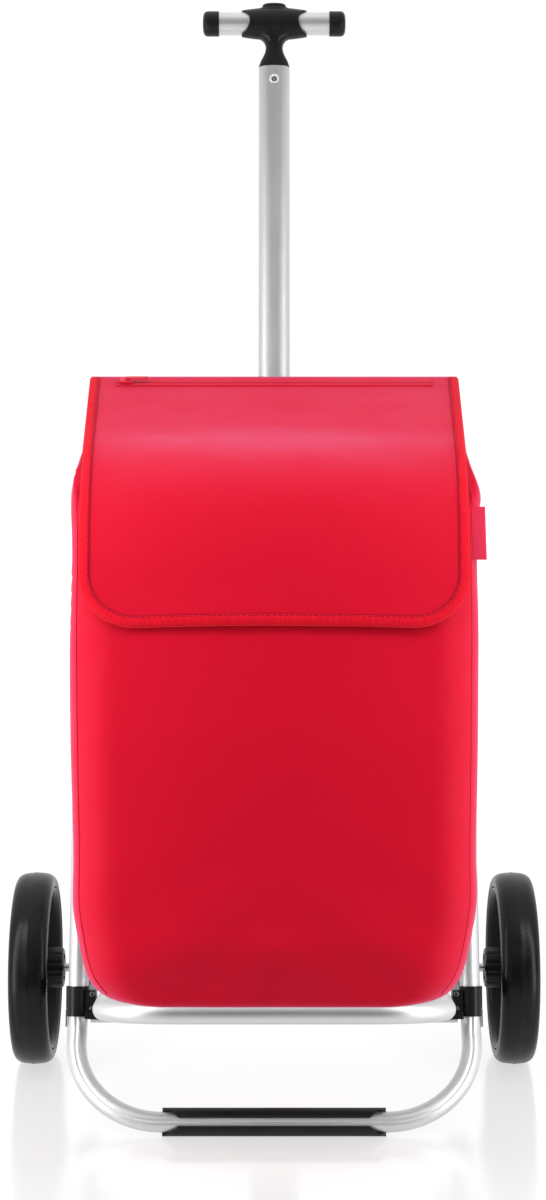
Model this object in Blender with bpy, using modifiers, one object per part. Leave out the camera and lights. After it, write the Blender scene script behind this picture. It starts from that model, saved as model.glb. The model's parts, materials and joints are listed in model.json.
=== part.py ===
"""Shopping trolley on wheels: a tube frame, two wheels, a telescopic T-handle and a soft bag.

Metres, +Z up.  The trolley is parked on its foot loop and its wheels, and it leans back.  All but
the wheels is drawn in the lean frame: its origin is the middle of the platform's hinge, X runs
across, Y runs backwards and Z runs up along the poles.
"""
import math

import bmesh
import bpy
from mathutils import Matrix, Vector

# Driving dimensions
LEAN = math.radians(15)
WHEEL_RADIUS = 0.081
WHEEL_WIDTH = 0.032
WHEEL_X = 0.204
AXLE_Y = 0.0745
AXLE_RADIUS = 0.0035
HINGE_AHEAD = 0.11044
HINGE_HEIGHT = 0.087

TUBE_RADIUS = 0.008
TUBE_WALL = 0.0012
TUBE_X = 0.159
GAP = 0.0003

FOOT_BEND = 0.0215
FOOT_FORWARD = 0.0459
FOOT_DROP = 0.0915
FOOT_CORNER = 0.071
PAD_HALF = 0.088
PAD_INNER = 0.0083
PAD_OUTER = 0.0110
PAD_MOUTH_TILT = math.radians(21)
PAD_MOUTH_HALF = math.radians(23)
NOTCH_HALF = (0.0231, 0.0125)
NOTCH_BEYOND = 0.0094
FOOT_CLEARANCE = 0.0105

SLEEVE_RADIUS = 0.0095
SLEEVE_HALF = 0.012
FLANGE_X = (0.1440, 0.1520)
ROD_RADIUS = 0.003
ROD_Y = 0.005
ROD_Z = -0.0146
ROD_HALF = 0.1487
SCREW_X = 0.1468
SCREW_RISE = 0.0058

PLATFORM_X = 0.136
PLATFORM_FRONT_X = 0.127
PLATFORM_DEPTH = 0.175
PLATFORM_CORNER = 0.058
PLATFORM_END = 0.0055
PIN_RADIUS = 0.0025

BRIDGE_Z = 0.455
SIDE_TOP_X = 0.1555
SIDE_CORNER = 0.065

POLE_Y = 0.022
POLE_HALF = (0.0133, 0.0083)
POLE_WALL = 0.0012
POLE_FOOT = 0.303
POLE_TOP = 0.7912
GUIDE_HALF = (0.0153, 0.0103)
GUIDE_WALL = 0.0015
GUIDE_FOOT = 0.012
GUIDE_TOP = 0.497
OVAL_FULLNESS = 0.62

BAR_Z = 0.831
BAR_RADIUS = 0.0097
BAR_WALL = 0.0012
BAR_INNER_X = 0.0122
BAR_OUTER_X = 0.0575
CAP_INNER_X = 0.0475
CAP_OUTER_X = 0.0617
CAP_RADIUS = 0.01075
HUB_HALF = 0.0288
HUB_WAIST = 0.0210
HUB_RADIUS = 0.0140
HUB_END_RADIUS = 0.0112
HUB_DEPTH = 0.0125
HUB_END_DEPTH = 0.0113
BUTTON_HALF = (0.0104, 0.0055)
BUTTON_Z = (0.8360, 0.8490)
WELL_FLOOR = 0.8240
SCREW_Z = 0.779

BAG_REAR = -0.012
BAG_HALF = 0.1572
BAG_LOW_HALF = 0.1510
BAG_TOP_HALF = 0.1445
BAG_NARROWING = (0.388, 0.468)
BAG_FLOOR = 0.0086
BAG_SHOULDER = (-0.172, 0.390)
BAG_REAR_TOP = (-0.012, 0.5056)
BAG_WALL = 0.0025
FLAP_HINGE = (-0.0095, 0.5120)
FLAP_SHEET = 0.003
FLAP_HALF = (0.1522, 0.1435)
FLAP_LOW = 0.281
FLAP_CORNER = 0.042
FLAP_BEND = 0.035
ZIP_HALF = 0.131


def empty_scene():
    for old in list(bpy.data.objects):
        bpy.data.objects.remove(old, do_unlink=True)


def new_collection(name):
    collection = bpy.data.collections.new(name)
    bpy.context.scene.collection.children.link(collection)
    return collection


def material(name, colour, roughness, metallic=0.0):
    surface = bpy.data.materials.new(name)
    surface.use_nodes = True
    shader = surface.node_tree.nodes["Principled BSDF"]
    shader.inputs["Base Color"].default_value = (*colour, 1)
    shader.inputs["Roughness"].default_value = roughness
    shader.inputs["Metallic"].default_value = metallic
    return surface


ALUMINIUM = ((0.66, 0.67, 0.68), 0.32, 1.0)
STEEL = ((0.60, 0.60, 0.61), 0.25, 1.0)
BLACK_PLASTIC = ((0.018, 0.018, 0.020), 0.42, 0.0)
RUBBER = ((0.030, 0.030, 0.032), 0.62, 0.0)
RED_FABRIC = ((0.80, 0.012, 0.045), 0.72, 0.0)

empty_scene()
TROLLEY = new_collection("shopping_trolley")
CUTTERS = new_collection("cutters")


def pivot(name, location=(0, 0, 0), parent=None, tilt=0.0):
    """An empty that places what is parented to it."""
    empty = bpy.data.objects.new(name, None)
    TROLLEY.objects.link(empty)
    empty.location = location
    empty.rotation_euler = (tilt, 0, 0)
    empty.parent = parent
    return empty


LEAN_FRAME = pivot("lean_frame", (0, AXLE_Y - HINGE_AHEAD, HINGE_HEIGHT), None, -LEAN)
HANDLE_AXIS = pivot("handle_axis", (0, POLE_Y, 0), LEAN_FRAME)
FLAP_AXIS = pivot("flap_axis", (0, *FLAP_HINGE), LEAN_FRAME)


def axle_in_lean_frame():
    """The wheel axle's place across the lean frame, as (y, z)."""
    offset = Matrix.Rotation(LEAN, 3, "X") @ Vector((0, HINGE_AHEAD, WHEEL_RADIUS - HINGE_HEIGHT))
    return offset.y, offset.z


def add(name, data, look, parent=LEAN_FRAME):
    """Link a named piece with a material of its own."""
    piece = bpy.data.objects.new(name, data)
    TROLLEY.objects.link(piece)
    piece.parent = parent
    data.materials.clear()
    data.materials.append(material(name, *look))
    return piece


def cutter(name, data, parent=LEAN_FRAME):
    """A shape that another piece is cut by or joined with."""
    tool = bpy.data.objects.new(name, data)
    CUTTERS.objects.link(tool)
    tool.parent = parent
    tool.hide_render = True
    tool.display_type = "WIRE"
    return tool


def boolean(piece, tools, operation):
    for tool in tools:
        step = piece.modifiers.new(f"{operation.lower()} {tool.name}", "BOOLEAN")
        step.operation = operation
        step.solver = "EXACT"
        step.object = tool


def bevel(piece, width, segments=2):
    step = piece.modifiers.new("rounded edges", "BEVEL")
    step.width = width
    step.segments = segments
    step.limit_method = "ANGLE"
    step.angle_limit = math.radians(40)


def smooth(mesh, angle=35):
    mesh.shade_smooth()
    mesh.set_sharp_from_angle(angle=math.radians(angle))


# Shapes

def block(name, low, high):
    """A box between two corners."""
    mesh = bpy.data.meshes.new(name)
    shape = bmesh.new()
    bmesh.ops.create_cube(shape, size=1)
    size = [b - a for a, b in zip(low, high)]
    centre = [(a + b) / 2 for a, b in zip(low, high)]
    bmesh.ops.scale(shape, vec=size, verts=shape.verts)
    bmesh.ops.translate(shape, vec=centre, verts=shape.verts)
    shape.to_mesh(mesh)
    shape.free()
    return mesh


def rod(name, start, end, radius, sides=24):
    """A solid cylinder between two points."""
    start, end = Vector(start), Vector(end)
    mesh = bpy.data.meshes.new(name)
    shape = bmesh.new()
    bmesh.ops.create_cone(
        shape, cap_ends=True, segments=sides, radius1=radius, radius2=radius, depth=(end - start).length)
    turn = Vector((0, 0, 1)).rotation_difference(end - start).to_matrix().to_4x4()
    bmesh.ops.transform(shape, matrix=Matrix.Translation((start + end) / 2) @ turn, verts=shape.verts)
    shape.to_mesh(mesh)
    shape.free()
    smooth(mesh)
    return mesh


def turned(name, profile, look, parent, steps=32, closed=True):
    """A profile of (radius, height) points turned about local Z with a Screw modifier."""
    mesh = bpy.data.meshes.new(name)
    shape = bmesh.new()
    points = [shape.verts.new((radius, 0, height)) for radius, height in profile]
    for first, second in zip(points, points[1:]):
        shape.edges.new((first, second))
    if closed:
        shape.edges.new((points[-1], points[0]))
    shape.to_mesh(mesh)
    shape.free()
    piece = add(name, mesh, look, parent)
    screw = piece.modifiers.new("turned", "SCREW")
    screw.steps = steps
    screw.render_steps = steps
    screw.use_merge_vertices = True
    screw.merge_threshold = 0.00002
    screw.use_smooth_shade = True
    return piece


def rounded_route(corners, steps=7):
    """Points of a route whose inner corners, given as (point, radius), are rounded."""
    route = [Vector(corners[0][0])]
    for before, here, after in zip(corners, corners[1:], corners[2:]):
        corner, radius = Vector(here[0]), here[1]
        into = (corner - Vector(before[0])).normalized()
        out = (Vector(after[0]) - corner).normalized()
        turn = into.angle(out)
        start = corner - into * radius * math.tan(turn / 2)
        middle = start + (out - into * into.dot(out)).normalized() * radius
        axis = into.cross(out).normalized()
        for step in range(steps + 1):
            spin = Matrix.Rotation(turn * step / steps, 3, axis)
            route.append(middle + spin @ (start - middle))
    route.append(Vector(corners[-1][0]))
    return route


def poly_curve(name, points, radius, resolution):
    curve = bpy.data.curves.new(name, "CURVE")
    curve.dimensions = "3D"
    curve.bevel_depth = radius
    curve.bevel_resolution = resolution
    spline = curve.splines.new("POLY")
    spline.points.add(len(points) - 1)
    for point, place in zip(spline.points, points):
        point.co = (*place, 1)
    return curve


def hollow_tube(name, corners, look, parent=LEAN_FRAME, radius=TUBE_RADIUS, wall=TUBE_WALL, steps=6):
    """A bent tube, open at both ends."""
    piece = add(name, poly_curve(name, rounded_route(corners, steps), radius, 3), look, parent)
    shell = piece.modifiers.new("wall", "SOLIDIFY")
    shell.thickness = wall
    shell.offset = -1
    return piece


def as_mesh(piece):
    """Turn a curve piece, with its modifiers, into a mesh piece of the same name."""
    bpy.context.view_layer.update()
    seen = piece.evaluated_get(bpy.context.evaluated_depsgraph_get())
    mesh = bpy.data.meshes.new_from_object(seen)
    shape = bmesh.new()
    shape.from_mesh(mesh)
    bmesh.ops.remove_doubles(shape, verts=shape.verts, dist=0.00001)
    bmesh.ops.recalc_face_normals(shape, faces=shape.faces)
    shape.to_mesh(mesh)
    shape.free()
    smooth(mesh)
    name, parent, place = piece.name, piece.parent, piece.matrix_world.copy()
    holder = piece.users_collection[0]
    bpy.data.objects.remove(piece, do_unlink=True)
    solid = bpy.data.objects.new(name, mesh)
    holder.objects.link(solid)
    solid.parent = parent
    solid.matrix_world = place
    return solid


def outline_curve(name, outlines, half_thickness, segments=6):
    """A flat shape in local X and Y, extruded along Z.  An outline is a list of Bezier points, each
    a place with its two handles, or a list of corner points; a second outline inside is a hole."""
    curve = bpy.data.curves.new(name, "CURVE")
    curve.dimensions = "2D"
    curve.fill_mode = "BOTH"
    curve.extrude = half_thickness
    curve.resolution_u = segments
    for outline in outlines:
        if len(outline[0]) == 3:
            spline = curve.splines.new("BEZIER")
            spline.bezier_points.add(len(outline) - 1)
            for point, (left, place, right) in zip(spline.bezier_points, outline):
                point.co = (*place, 0)
                point.handle_left = (*left, 0)
                point.handle_right = (*right, 0)
        else:
            spline = curve.splines.new("POLY")
            spline.points.add(len(outline) - 1)
            for point, place in zip(spline.points, outline):
                point.co = (*place, 0, 1)
        spline.use_cyclic_u = True
    return curve


def oval(half_x, half_y, fullness=OVAL_FULLNESS, centre=(0, 0)):
    """Four Bezier points of an oval; fullness 0.55 is an ellipse and 1 a rectangle."""
    places = [(half_x, 0), (0, half_y), (-half_x, 0), (0, -half_y)]
    points = []
    for index, (x, y) in enumerate(places):
        along = Vector((-y / half_y * half_x, x / half_x * half_y)) * fullness
        place = Vector((x, y)) + Vector(centre)
        points.append((tuple(place - along), tuple(place), tuple(place + along)))
    return points


def circle(radius, centre=(0, 0)):
    return oval(radius, radius, 0.5523, centre)


def upright(name, outlines, low, high, segments=6):
    """A mesh of an outline in X and Y, from height low to high."""
    guide = bpy.data.objects.new(name, outline_curve(name, outlines, (high - low) / 2, segments))
    CUTTERS.objects.link(guide)
    guide.location = (0, 0, (low + high) / 2)
    mesh = as_mesh(guide)
    data = mesh.data
    data.transform(mesh.matrix_world)
    bpy.data.objects.remove(mesh, do_unlink=True)
    return data


def across(name, outlines, low, high, segments=6):
    """A mesh of an outline in Y and Z, from X low to high."""
    data = upright(name, outlines, low, high, segments)
    data.transform(Matrix(((0, 0, 1, 0), (1, 0, 0, 0), (0, 1, 0, 0), (0, 0, 0, 1))))
    return data


def loft(name, rings, capped=(True, True), closed=True):
    """Faces between rings of equal length, each ring counter-clockwise seen from the last one."""
    mesh = bpy.data.meshes.new(name)
    shape = bmesh.new()
    rows = [[shape.verts.new(point) for point in ring] for ring in rings]
    count = len(rows[0])
    for low, high in zip(rows, rows[1:]):
        for index in range(count if closed else count - 1):
            after = (index + 1) % count
            shape.faces.new((low[index], low[after], high[after], high[index]))
    if capped[0]:
        shape.faces.new(list(reversed(rows[0])))
    if capped[1]:
        shape.faces.new(rows[-1])
    shape.to_mesh(mesh)
    shape.free()
    smooth(mesh)
    return mesh


def sides():
    """The right and the left side: a name and the sign of X."""
    return (("right", 1), ("left", -1))


def mirrored(mesh, sign):
    """The mesh as drawn for the right side, or its mirror image for the left."""
    if sign < 0:
        mesh.transform(Matrix.Scale(-1, 4, (1, 0, 0)))
        mesh.flip_normals()
    return mesh


# Wheels

def wheel(side, sign):
    """Local Z runs outwards along the axle."""
    centre = pivot(f"wheel_axis_{side}", (sign * WHEEL_X, AXLE_Y, WHEEL_RADIUS))
    centre.rotation_euler = (0, sign * math.pi / 2, 0)
    half = WHEEL_WIDTH / 2
    tyre = [
        (WHEEL_RADIUS, 0.0050), (0.0807, 0.0095), (0.0794, 0.0128), (0.0762, 0.0152), (0.0718, half),
        (0.0685, 0.0155), (0.0678, 0.0135), (0.0678, -0.0135), (0.0685, -0.0155), (0.0718, -half),
        (0.0762, -0.0152), (0.0794, -0.0128), (0.0807, -0.0095), (WHEEL_RADIUS, -0.0050)]
    turned(f"tyre_{side}", list(reversed(tyre)), RUBBER, centre, 36)
    bore, hub = 0.0062, 0.0172
    rim = [
        (0.0675, 0.0130), (0.0675, -0.0130), (0.0645, -0.0135), (0.0632, -0.0100), (0.0610, 0.0040),
        (0.0560, 0.0065), (0.0250, 0.0000), (hub, -0.0040), (hub, -0.0225), (0.0160, -0.0240),
        (bore, -0.0240), (bore, 0.0070), (0.0190, 0.0070), (0.0560, 0.0095), (0.0625, 0.0100),
        (0.0640, 0.0130)]
    turned(f"rim_{side}", rim, BLACK_PLASTIC, centre, 28)
    bush = [(0.0059, 0.0068), (0.0059, -0.0238), (0.0039, -0.0238), (0.0039, 0.0068)]
    turned(f"wheel_bush_{side}", bush, BLACK_PLASTIC, centre, 20)
    cap = [(0, 0.0148), (0.0085, 0.0142), (0.0125, 0.0078), (0.0039, 0.0078), (0.0039, 0.0118), (0, 0.0118)]
    turned(f"axle_cap_{side}", cap, BLACK_PLASTIC, centre, 24, closed=False)


# Frame

def foot_loop():
    x, drop, forward = TUBE_X, -FOOT_DROP, -FOOT_FORWARD
    leg = [((x, 0, -GAP), 0), ((x, 0, -FOOT_BEND), 0.03), ((x, forward, drop), FOOT_CORNER)]
    other = [((-p[0], p[1], p[2]), radius) for (p, radius) in reversed(leg)]
    hollow_tube("foot_loop", leg + other, ALUMINIUM)


def foot_pad():
    """Rubber channel round the bar on the floor, open at the front, with a flat sole.  Each end of
    it is cut in a rounded notch, so that its two lips end in points."""
    bar = Matrix.Rotation(-LEAN, 3, "X") @ Vector((0, -FOOT_FORWARD, -FOOT_DROP))
    centre = Vector((AXLE_Y - HINGE_AHEAD + bar.y, HINGE_HEIGHT + bar.z))
    mouth, steps = math.pi - PAD_MOUTH_TILT, 22
    first, sweep = mouth + PAD_MOUTH_HALF, 2 * (math.pi - PAD_MOUTH_HALF)
    turns = [first + sweep * i / steps for i in range(steps + 1)]
    outer = [centre + Vector((math.cos(a), math.sin(a))) * PAD_OUTER for a in turns]
    inner = [centre + Vector((math.cos(a), math.sin(a))) * PAD_INNER for a in reversed(turns)]
    sole = centre.y - FOOT_CLEARANCE
    on_sole = [p.x for p in outer if p.y < sole]
    ends = (min(on_sole), max(on_sole))
    outline = [(p.x, max(p.y, sole)) for p in outer + inner if p.y >= sole or p.x in ends]
    pad = add("foot_pad", across("foot_pad", [outline], -PAD_HALF, PAD_HALF), RUBBER, None)
    facing = Vector((math.cos(mouth), math.sin(mouth)))
    near, far = centre + facing * 0.0012, centre + facing * 0.030
    notches = []
    for side, sign in sides():
        notch = rod("notch", (0, *near), (0, *far), NOTCH_HALF[1], 26)
        notch.transform(Matrix.Scale(NOTCH_HALF[0] / NOTCH_HALF[1], 4, (1, 0, 0)))
        notch.transform(Matrix.Translation((sign * (PAD_HALF + NOTCH_BEYOND), 0, 0)))
        notches.append(cutter(f"notch_{side}", notch, None))
    boolean(pad, notches, "DIFFERENCE")


def side_tubes():
    for side, sign in sides():
        route = [
            ((sign * TUBE_X, 0, GAP), 0), ((sign * SIDE_TOP_X, 0, BRIDGE_Z), SIDE_CORNER),
            ((sign * 0.030, 0, BRIDGE_Z), 0)]
        hollow_tube(f"side_tube_{side}", route, ALUMINIUM)


def brackets():
    """Moulded brackets join each side tube, foot loop end, platform arm and the axle."""
    axle_y, axle_z = axle_in_lean_frame()
    low, high = FLANGE_X
    arm = [(0.0, -0.0110), (0.030, -0.0060), (axle_y, axle_z - 0.0095), (axle_y + 0.0070, axle_z - 0.0065),
           (axle_y + 0.0095, axle_z), (axle_y + 0.0070, axle_z + 0.0065), (axle_y, axle_z + 0.0095),
           (0.020, 0.0118), (0.0, 0.0118)]
    ledge_end = -0.0165
    for side, sign in sides():
        def cut(name, mesh):
            return cutter(f"{name}_{side}", mirrored(mesh, sign))

        body = across("bracket", [arm, circle(AXLE_RADIUS + GAP, (axle_y, axle_z))], 0.1505, 0.1675)
        bracket = add(f"bracket_{side}", mirrored(body, sign), BLACK_PLASTIC)
        low_end, high_end = (TUBE_X, 0, -SLEEVE_HALF), (TUBE_X, 0, SLEEVE_HALF)
        sleeve = cut("sleeve", rod("sleeve", low_end, high_end, SLEEVE_RADIUS))
        flange = cut("flange", block("flange", (low, -0.0090, -0.0115), (high, 0.0110, 0.0090)))
        lug = cut("rod_lug", block("rod_lug", (low, 0.0000, ROD_Z), (0.1505, 0.0125, -0.0100)))
        ledge = cut("ledge", block("ledge", (0.1310, ledge_end, -0.0135), (high, -0.0060, -0.0104)))
        stop = cut("stop", block("stop", (0.1310, ledge_end, -0.0120), (high, -0.0100, -0.0083)))
        boolean(bracket, (sleeve, flange, lug, ledge, stop), "UNION")
        tube = cut("tube_way", rod("tube_way", (TUBE_X, 0, -0.030), (TUBE_X, 0, 0.030), TUBE_RADIUS + GAP))
        pin = cut("pin_way", rod("pin_way", (0.140, 0, 0), (0.1500, 0, 0), PIN_RADIUS + GAP))
        rod_start, rod_end = (0.140, ROD_Y, ROD_Z), (ROD_HALF + GAP, ROD_Y, ROD_Z)
        end = cut("rod_way", rod("rod_way", rod_start, rod_end, ROD_RADIUS + GAP))
        slot = cut("clip_way", block("clip_way", (0.1671, -0.0043, -0.0130), (0.1700, 0.0043, -0.0060)))
        boolean(bracket, (tube, pin, end, slot), "DIFFERENCE")
        screw_ways = []
        for place, height in (("upper", SCREW_RISE), ("lower", -SCREW_RISE)):
            x = sign * SCREW_X
            way = rod("screw_way", (x, -0.020, height), (x, -0.0040, height), 0.0016, 16)
            screw_ways.append(cutter(f"screw_way_{place}_{side}", way))
            bracket_screw(f"bracket_screw_{place}_{side}", x, height)
        boolean(bracket, screw_ways, "DIFFERENCE")
        clip = block("clip", (0.1674, -0.0040, -0.0205), (0.1684, 0.0040, -0.0064))
        add(f"frame_clip_{side}", mirrored(clip, sign), STEEL)


def bracket_screw(name, x, height):
    """Cheese-head screw that faces the front; local Z runs out of the head."""
    holder = pivot(f"{name}_axis", (x, -0.0093, height), LEAN_FRAME, math.pi / 2)
    profile = [(0, 0.0014), (0.0018, 0.0014), (0.0024, 0.0008), (0.0024, 0), (0.0013, 0), (0.0013, -0.0048),
               (0, -0.0050)]
    turned(name, profile, STEEL, holder, 12, closed=False)


def cross_rod():
    left, right = (-ROD_HALF, ROD_Y, ROD_Z), (ROD_HALF, ROD_Y, ROD_Z)
    add("cross_rod", rod("cross_rod", left, right, ROD_RADIUS, 20), STEEL)


def axle():
    y, z = axle_in_lean_frame()
    half = WHEEL_X + 0.0115
    add("axle", rod("axle", (-half, y, z), (half, y, z), AXLE_RADIUS, 20), STEEL)


def platform():
    """The folding support loop under the bag, with its two hinge pins."""
    side = [((PLATFORM_X, PLATFORM_END, 0), 0), ((PLATFORM_FRONT_X, -PLATFORM_DEPTH, 0), PLATFORM_CORNER)]
    other = [((-p[0], p[1], p[2]), radius) for (p, radius) in reversed(side)]
    loop = as_mesh(hollow_tube("platform_loop", side + other, ALUMINIUM))
    way = cutter("hinge_way", rod("hinge_way", (-0.150, 0, 0), (0.150, 0, 0), PIN_RADIUS + GAP, 20))
    boolean(loop, (way,), "DIFFERENCE")
    for name, sign in sides():
        holder = pivot(f"platform_pin_{name}_axis", (0, 0, 0), LEAN_FRAME)
        holder.rotation_euler = (0, sign * math.pi / 2, 0)
        head, shank = 0.1257, 0.1272
        profile = [(0, head - 0.0008), (0.0030, head - 0.0008), (0.0046, head), (0.0046, shank),
                   (PIN_RADIUS, shank), (PIN_RADIUS, 0.1495), (0, 0.1495)]
        turned(f"platform_pin_{name}", list(reversed(profile)), STEEL, holder, 16, closed=False)


def pole_socket():
    """Moulded foot of the pole guide, with a saddle that sits on the cross rod."""
    side = [(-0.0010, ROD_Z), (0.0120, ROD_Z), (0.0355, -0.0040), (0.0355, 0.0480), (0.0095, 0.0480),
            (0.0095, -0.0085), (-0.0010, -0.0095)]
    socket = add("pole_socket", across("pole_socket", [side], -0.0195, 0.0195), BLACK_PLASTIC)
    left, right = (-0.030, ROD_Y, ROD_Z), (0.030, ROD_Y, ROD_Z)
    saddle = cutter("saddle", rod("saddle", left, right, ROD_RADIUS + GAP))
    well = upright("socket_well", [oval(GUIDE_HALF[0] + GAP, GUIDE_HALF[1] + GAP, centre=(0, POLE_Y))],
                   GUIDE_FOOT - GAP, 0.060)
    boolean(socket, (cutter("socket_well", well), saddle), "DIFFERENCE")


def pole_guide():
    outer = oval(*GUIDE_HALF, centre=(0, POLE_Y))
    inner = oval(GUIDE_HALF[0] - GUIDE_WALL, GUIDE_HALF[1] - GUIDE_WALL, centre=(0, POLE_Y))
    add("pole_guide", upright("pole_guide", [outer, inner], GUIDE_FOOT, GUIDE_TOP), ALUMINIUM)
    rim = oval(0.0185, 0.0128, centre=(0, POLE_Y))
    mouth = oval(POLE_HALF[0] + 0.0004, POLE_HALF[1] + 0.0004, centre=(0, POLE_Y))
    collar = add("pole_collar", upright("pole_collar", [rim, mouth], 0.482, 0.508), BLACK_PLASTIC)
    seat = oval(GUIDE_HALF[0] + GAP, GUIDE_HALF[1] + GAP, centre=(0, POLE_Y))
    step = cutter("collar_seat", upright("collar_seat", [seat], 0.470, GUIDE_TOP + GAP))
    boolean(collar, (step,), "DIFFERENCE")


def top_bridge():
    """Moulded block that joins the side tubes' upper ends to the pole guide."""
    half = 0.046
    body = block("top_bridge", (-half, -0.0096, BRIDGE_Z - 0.014), (half, 0.0352, BRIDGE_Z + 0.014))
    bridge = add("top_bridge", body, BLACK_PLASTIC)
    bevel(bridge, 0.004, 2)
    way = upright("guide_way", [oval(GUIDE_HALF[0] + GAP, GUIDE_HALF[1] + GAP, centre=(0, POLE_Y))],
                  BRIDGE_Z - 0.030, BRIDGE_Z + 0.030)
    ways = [cutter("guide_way", way)]
    for side, sign in sides():
        inner_end, outer_end = (sign * (0.030 - GAP), 0, BRIDGE_Z), (sign * 0.060, 0, BRIDGE_Z)
        bore = rod("tube_end_way", inner_end, outer_end, TUBE_RADIUS + GAP)
        ways.append(cutter(f"tube_end_way_{side}", bore))
    boolean(bridge, ways, "DIFFERENCE")


# Handle

def handle_pole():
    outer = oval(*POLE_HALF)
    inner = oval(POLE_HALF[0] - POLE_WALL, POLE_HALF[1] - POLE_WALL)
    tube = upright("handle_pole", [outer, inner], POLE_FOOT, POLE_TOP)
    pole = add("handle_pole", tube, ALUMINIUM, HANDLE_AXIS)
    hole = rod("pole_hole", (0, -0.015, SCREW_Z), (0, 0, SCREW_Z), 0.0030, 16)
    boolean(pole, (cutter("pole_hole", hole, HANDLE_AXIS),), "DIFFERENCE")


def pole_shoe():
    """Plastic end of the pole: it slides in the guide and carries the latch bolt."""
    shoe_half = [half + 0.0002 for half in POLE_HALF]
    body = upright("pole_shoe", [oval(*shoe_half)], 0.2900, POLE_FOOT - GAP)
    shoe = add("pole_shoe", body, BLACK_PLASTIC, HANDLE_AXIS)
    plug = upright("shoe_plug", [oval(0.0117, 0.0067)], 0.2950, 0.3250)
    boolean(shoe, (cutter("shoe_plug", plug, HANDLE_AXIS),), "UNION")
    bore = rod("shoe_bore", (0, 0, 0.2995), (0, 0, 0.3300), 0.0023, 16)
    way = rod("bolt_way", (0, -0.0010, 0.2965), (0, 0.0120, 0.2965), 0.0023, 16)
    ways = [cutter("shoe_bore", bore, HANDLE_AXIS), cutter("bolt_way", way, HANDLE_AXIS)]
    boolean(shoe, ways, "DIFFERENCE")
    bolt = rod("latch_bolt", (0, 0.0016, 0.2965), (0, 0.0083, 0.2965), 0.0020, 16)
    add("latch_bolt", bolt, STEEL, HANDLE_AXIS)


def oval_ring(half_x, half_y, height, count=20, power=2.3):
    """Points of a rounded oval at one height."""
    ring = []
    for index in range(count):
        angle = 2 * math.pi * index / count
        c, s = math.cos(angle), math.sin(angle)
        x = half_x * math.copysign(abs(c) ** (2 / power), c)
        y = half_y * math.copysign(abs(s) ** (2 / power), s)
        ring.append((x, y, height))
    return ring


def hub_barrel():
    """The hub's body along X: fullest in the middle, lower and a little thinner at its two ends."""
    rings = []
    for share in (-1, -0.7, -0.35, 0, 0.35, 0.7, 1):
        height = HUB_RADIUS - (HUB_RADIUS - HUB_END_RADIUS) * share ** 2
        depth = HUB_DEPTH - (HUB_DEPTH - HUB_END_DEPTH) * share ** 2
        rings.append(oval_ring(depth, height, share * HUB_HALF, 24, 2.0))
    barrel = loft("hub_barrel", rings)
    barrel.transform(Matrix(((0, 0, 1, 0), (1, 0, 0, 0), (0, 1, 0, 0), (0, 0, 0, 1))))
    barrel.transform(Matrix.Translation((0, 0, BAR_Z)))
    return barrel


def handle_hub():
    """Moulded middle of the T: it holds the grip bars, the button and the neck on the pole."""
    plug = (0.0115, 0.0065)
    neck = [oval_ring(*plug, 0.7690), oval_ring(*plug, POLE_TOP), oval_ring(*plug, POLE_TOP + GAP)]
    for half_x, half_y, height in (
            (0.0132, 0.0083, POLE_TOP + GAP), (0.0126, 0.0083, 0.7950), (0.0094, 0.0078, 0.8005),
            (0.0075, 0.0074, 0.8060), (0.0078, 0.0076, 0.8105), (0.0115, 0.0086, 0.8155),
            (0.0150, 0.0092, 0.8190), (0.0160, 0.0094, 0.8260)):
        neck.append(oval_ring(half_x, half_y, height))
    hub = add("handle_hub", loft("handle_hub", neck), BLACK_PLASTIC, HANDLE_AXIS)
    dome = loft("hub_dome", [
        oval_ring(0.0200, 0.0075, BAR_Z), oval_ring(0.0185, 0.0086, BAR_Z + 0.0100),
        oval_ring(0.0150, 0.0078, BAR_Z + 0.0126), oval_ring(0.0125, 0.0068, BAR_Z + 0.0132)])
    bulk = [cutter("hub_barrel", hub_barrel(), HANDLE_AXIS), cutter("hub_dome", dome, HANDLE_AXIS)]
    boolean(hub, bulk, "UNION")
    wing = HUB_HALF - HUB_WAIST
    hollow = (HUB_END_RADIUS ** 2 + wing ** 2) / (2 * wing)
    ways = []
    for side, sign in sides():
        x = sign * (HUB_WAIST + hollow)
        end = rod("hub_end", (x, -0.03, BAR_Z), (x, 0.03, BAR_Z), hollow, 28)
        ways.append(cutter(f"hub_end_{side}", end, HANDLE_AXIS))
        bar_start, bar_end = (sign * (BAR_INNER_X - GAP), 0, BAR_Z), (sign * 0.05, 0, BAR_Z)
        bore = rod("bar_way", bar_start, bar_end, BAR_RADIUS + GAP, 24)
        ways.append(cutter(f"bar_way_{side}", bore, HANDLE_AXIS))
    well = upright("button_well", [oval(BUTTON_HALF[0] + GAP, BUTTON_HALF[1] + GAP)], WELL_FLOOR, 0.860, 5)
    ways.append(cutter("button_well", well, HANDLE_AXIS))
    ways.append(cutter("rod_bore", rod("rod_bore", (0, 0, 0.760), (0, 0, 0.830), 0.0022, 16), HANDLE_AXIS))
    hole = rod("hub_screw_way", (0, -0.015, SCREW_Z), (0, -0.0040, SCREW_Z), 0.0030, 16)
    ways.append(cutter("hub_screw_way", hole, HANDLE_AXIS))
    boolean(hub, ways, "DIFFERENCE")


def pole_screw():
    """Hollow rivet through the front of the pole; local Z runs out of its head."""
    holder = pivot("pole_screw_axis", (0, -POLE_HALF[1] - GAP, SCREW_Z), HANDLE_AXIS, math.pi / 2)
    profile = [(0, -0.0012), (0.0023, -0.0012), (0.0023, 0.0008), (0.0040, 0.0008), (0.0043, 0.0004),
               (0.0043, 0), (0.0027, 0), (0.0027, -0.0040), (0, -0.0040)]
    turned("pole_screw", profile, STEEL, holder, 16, closed=False)


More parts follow.
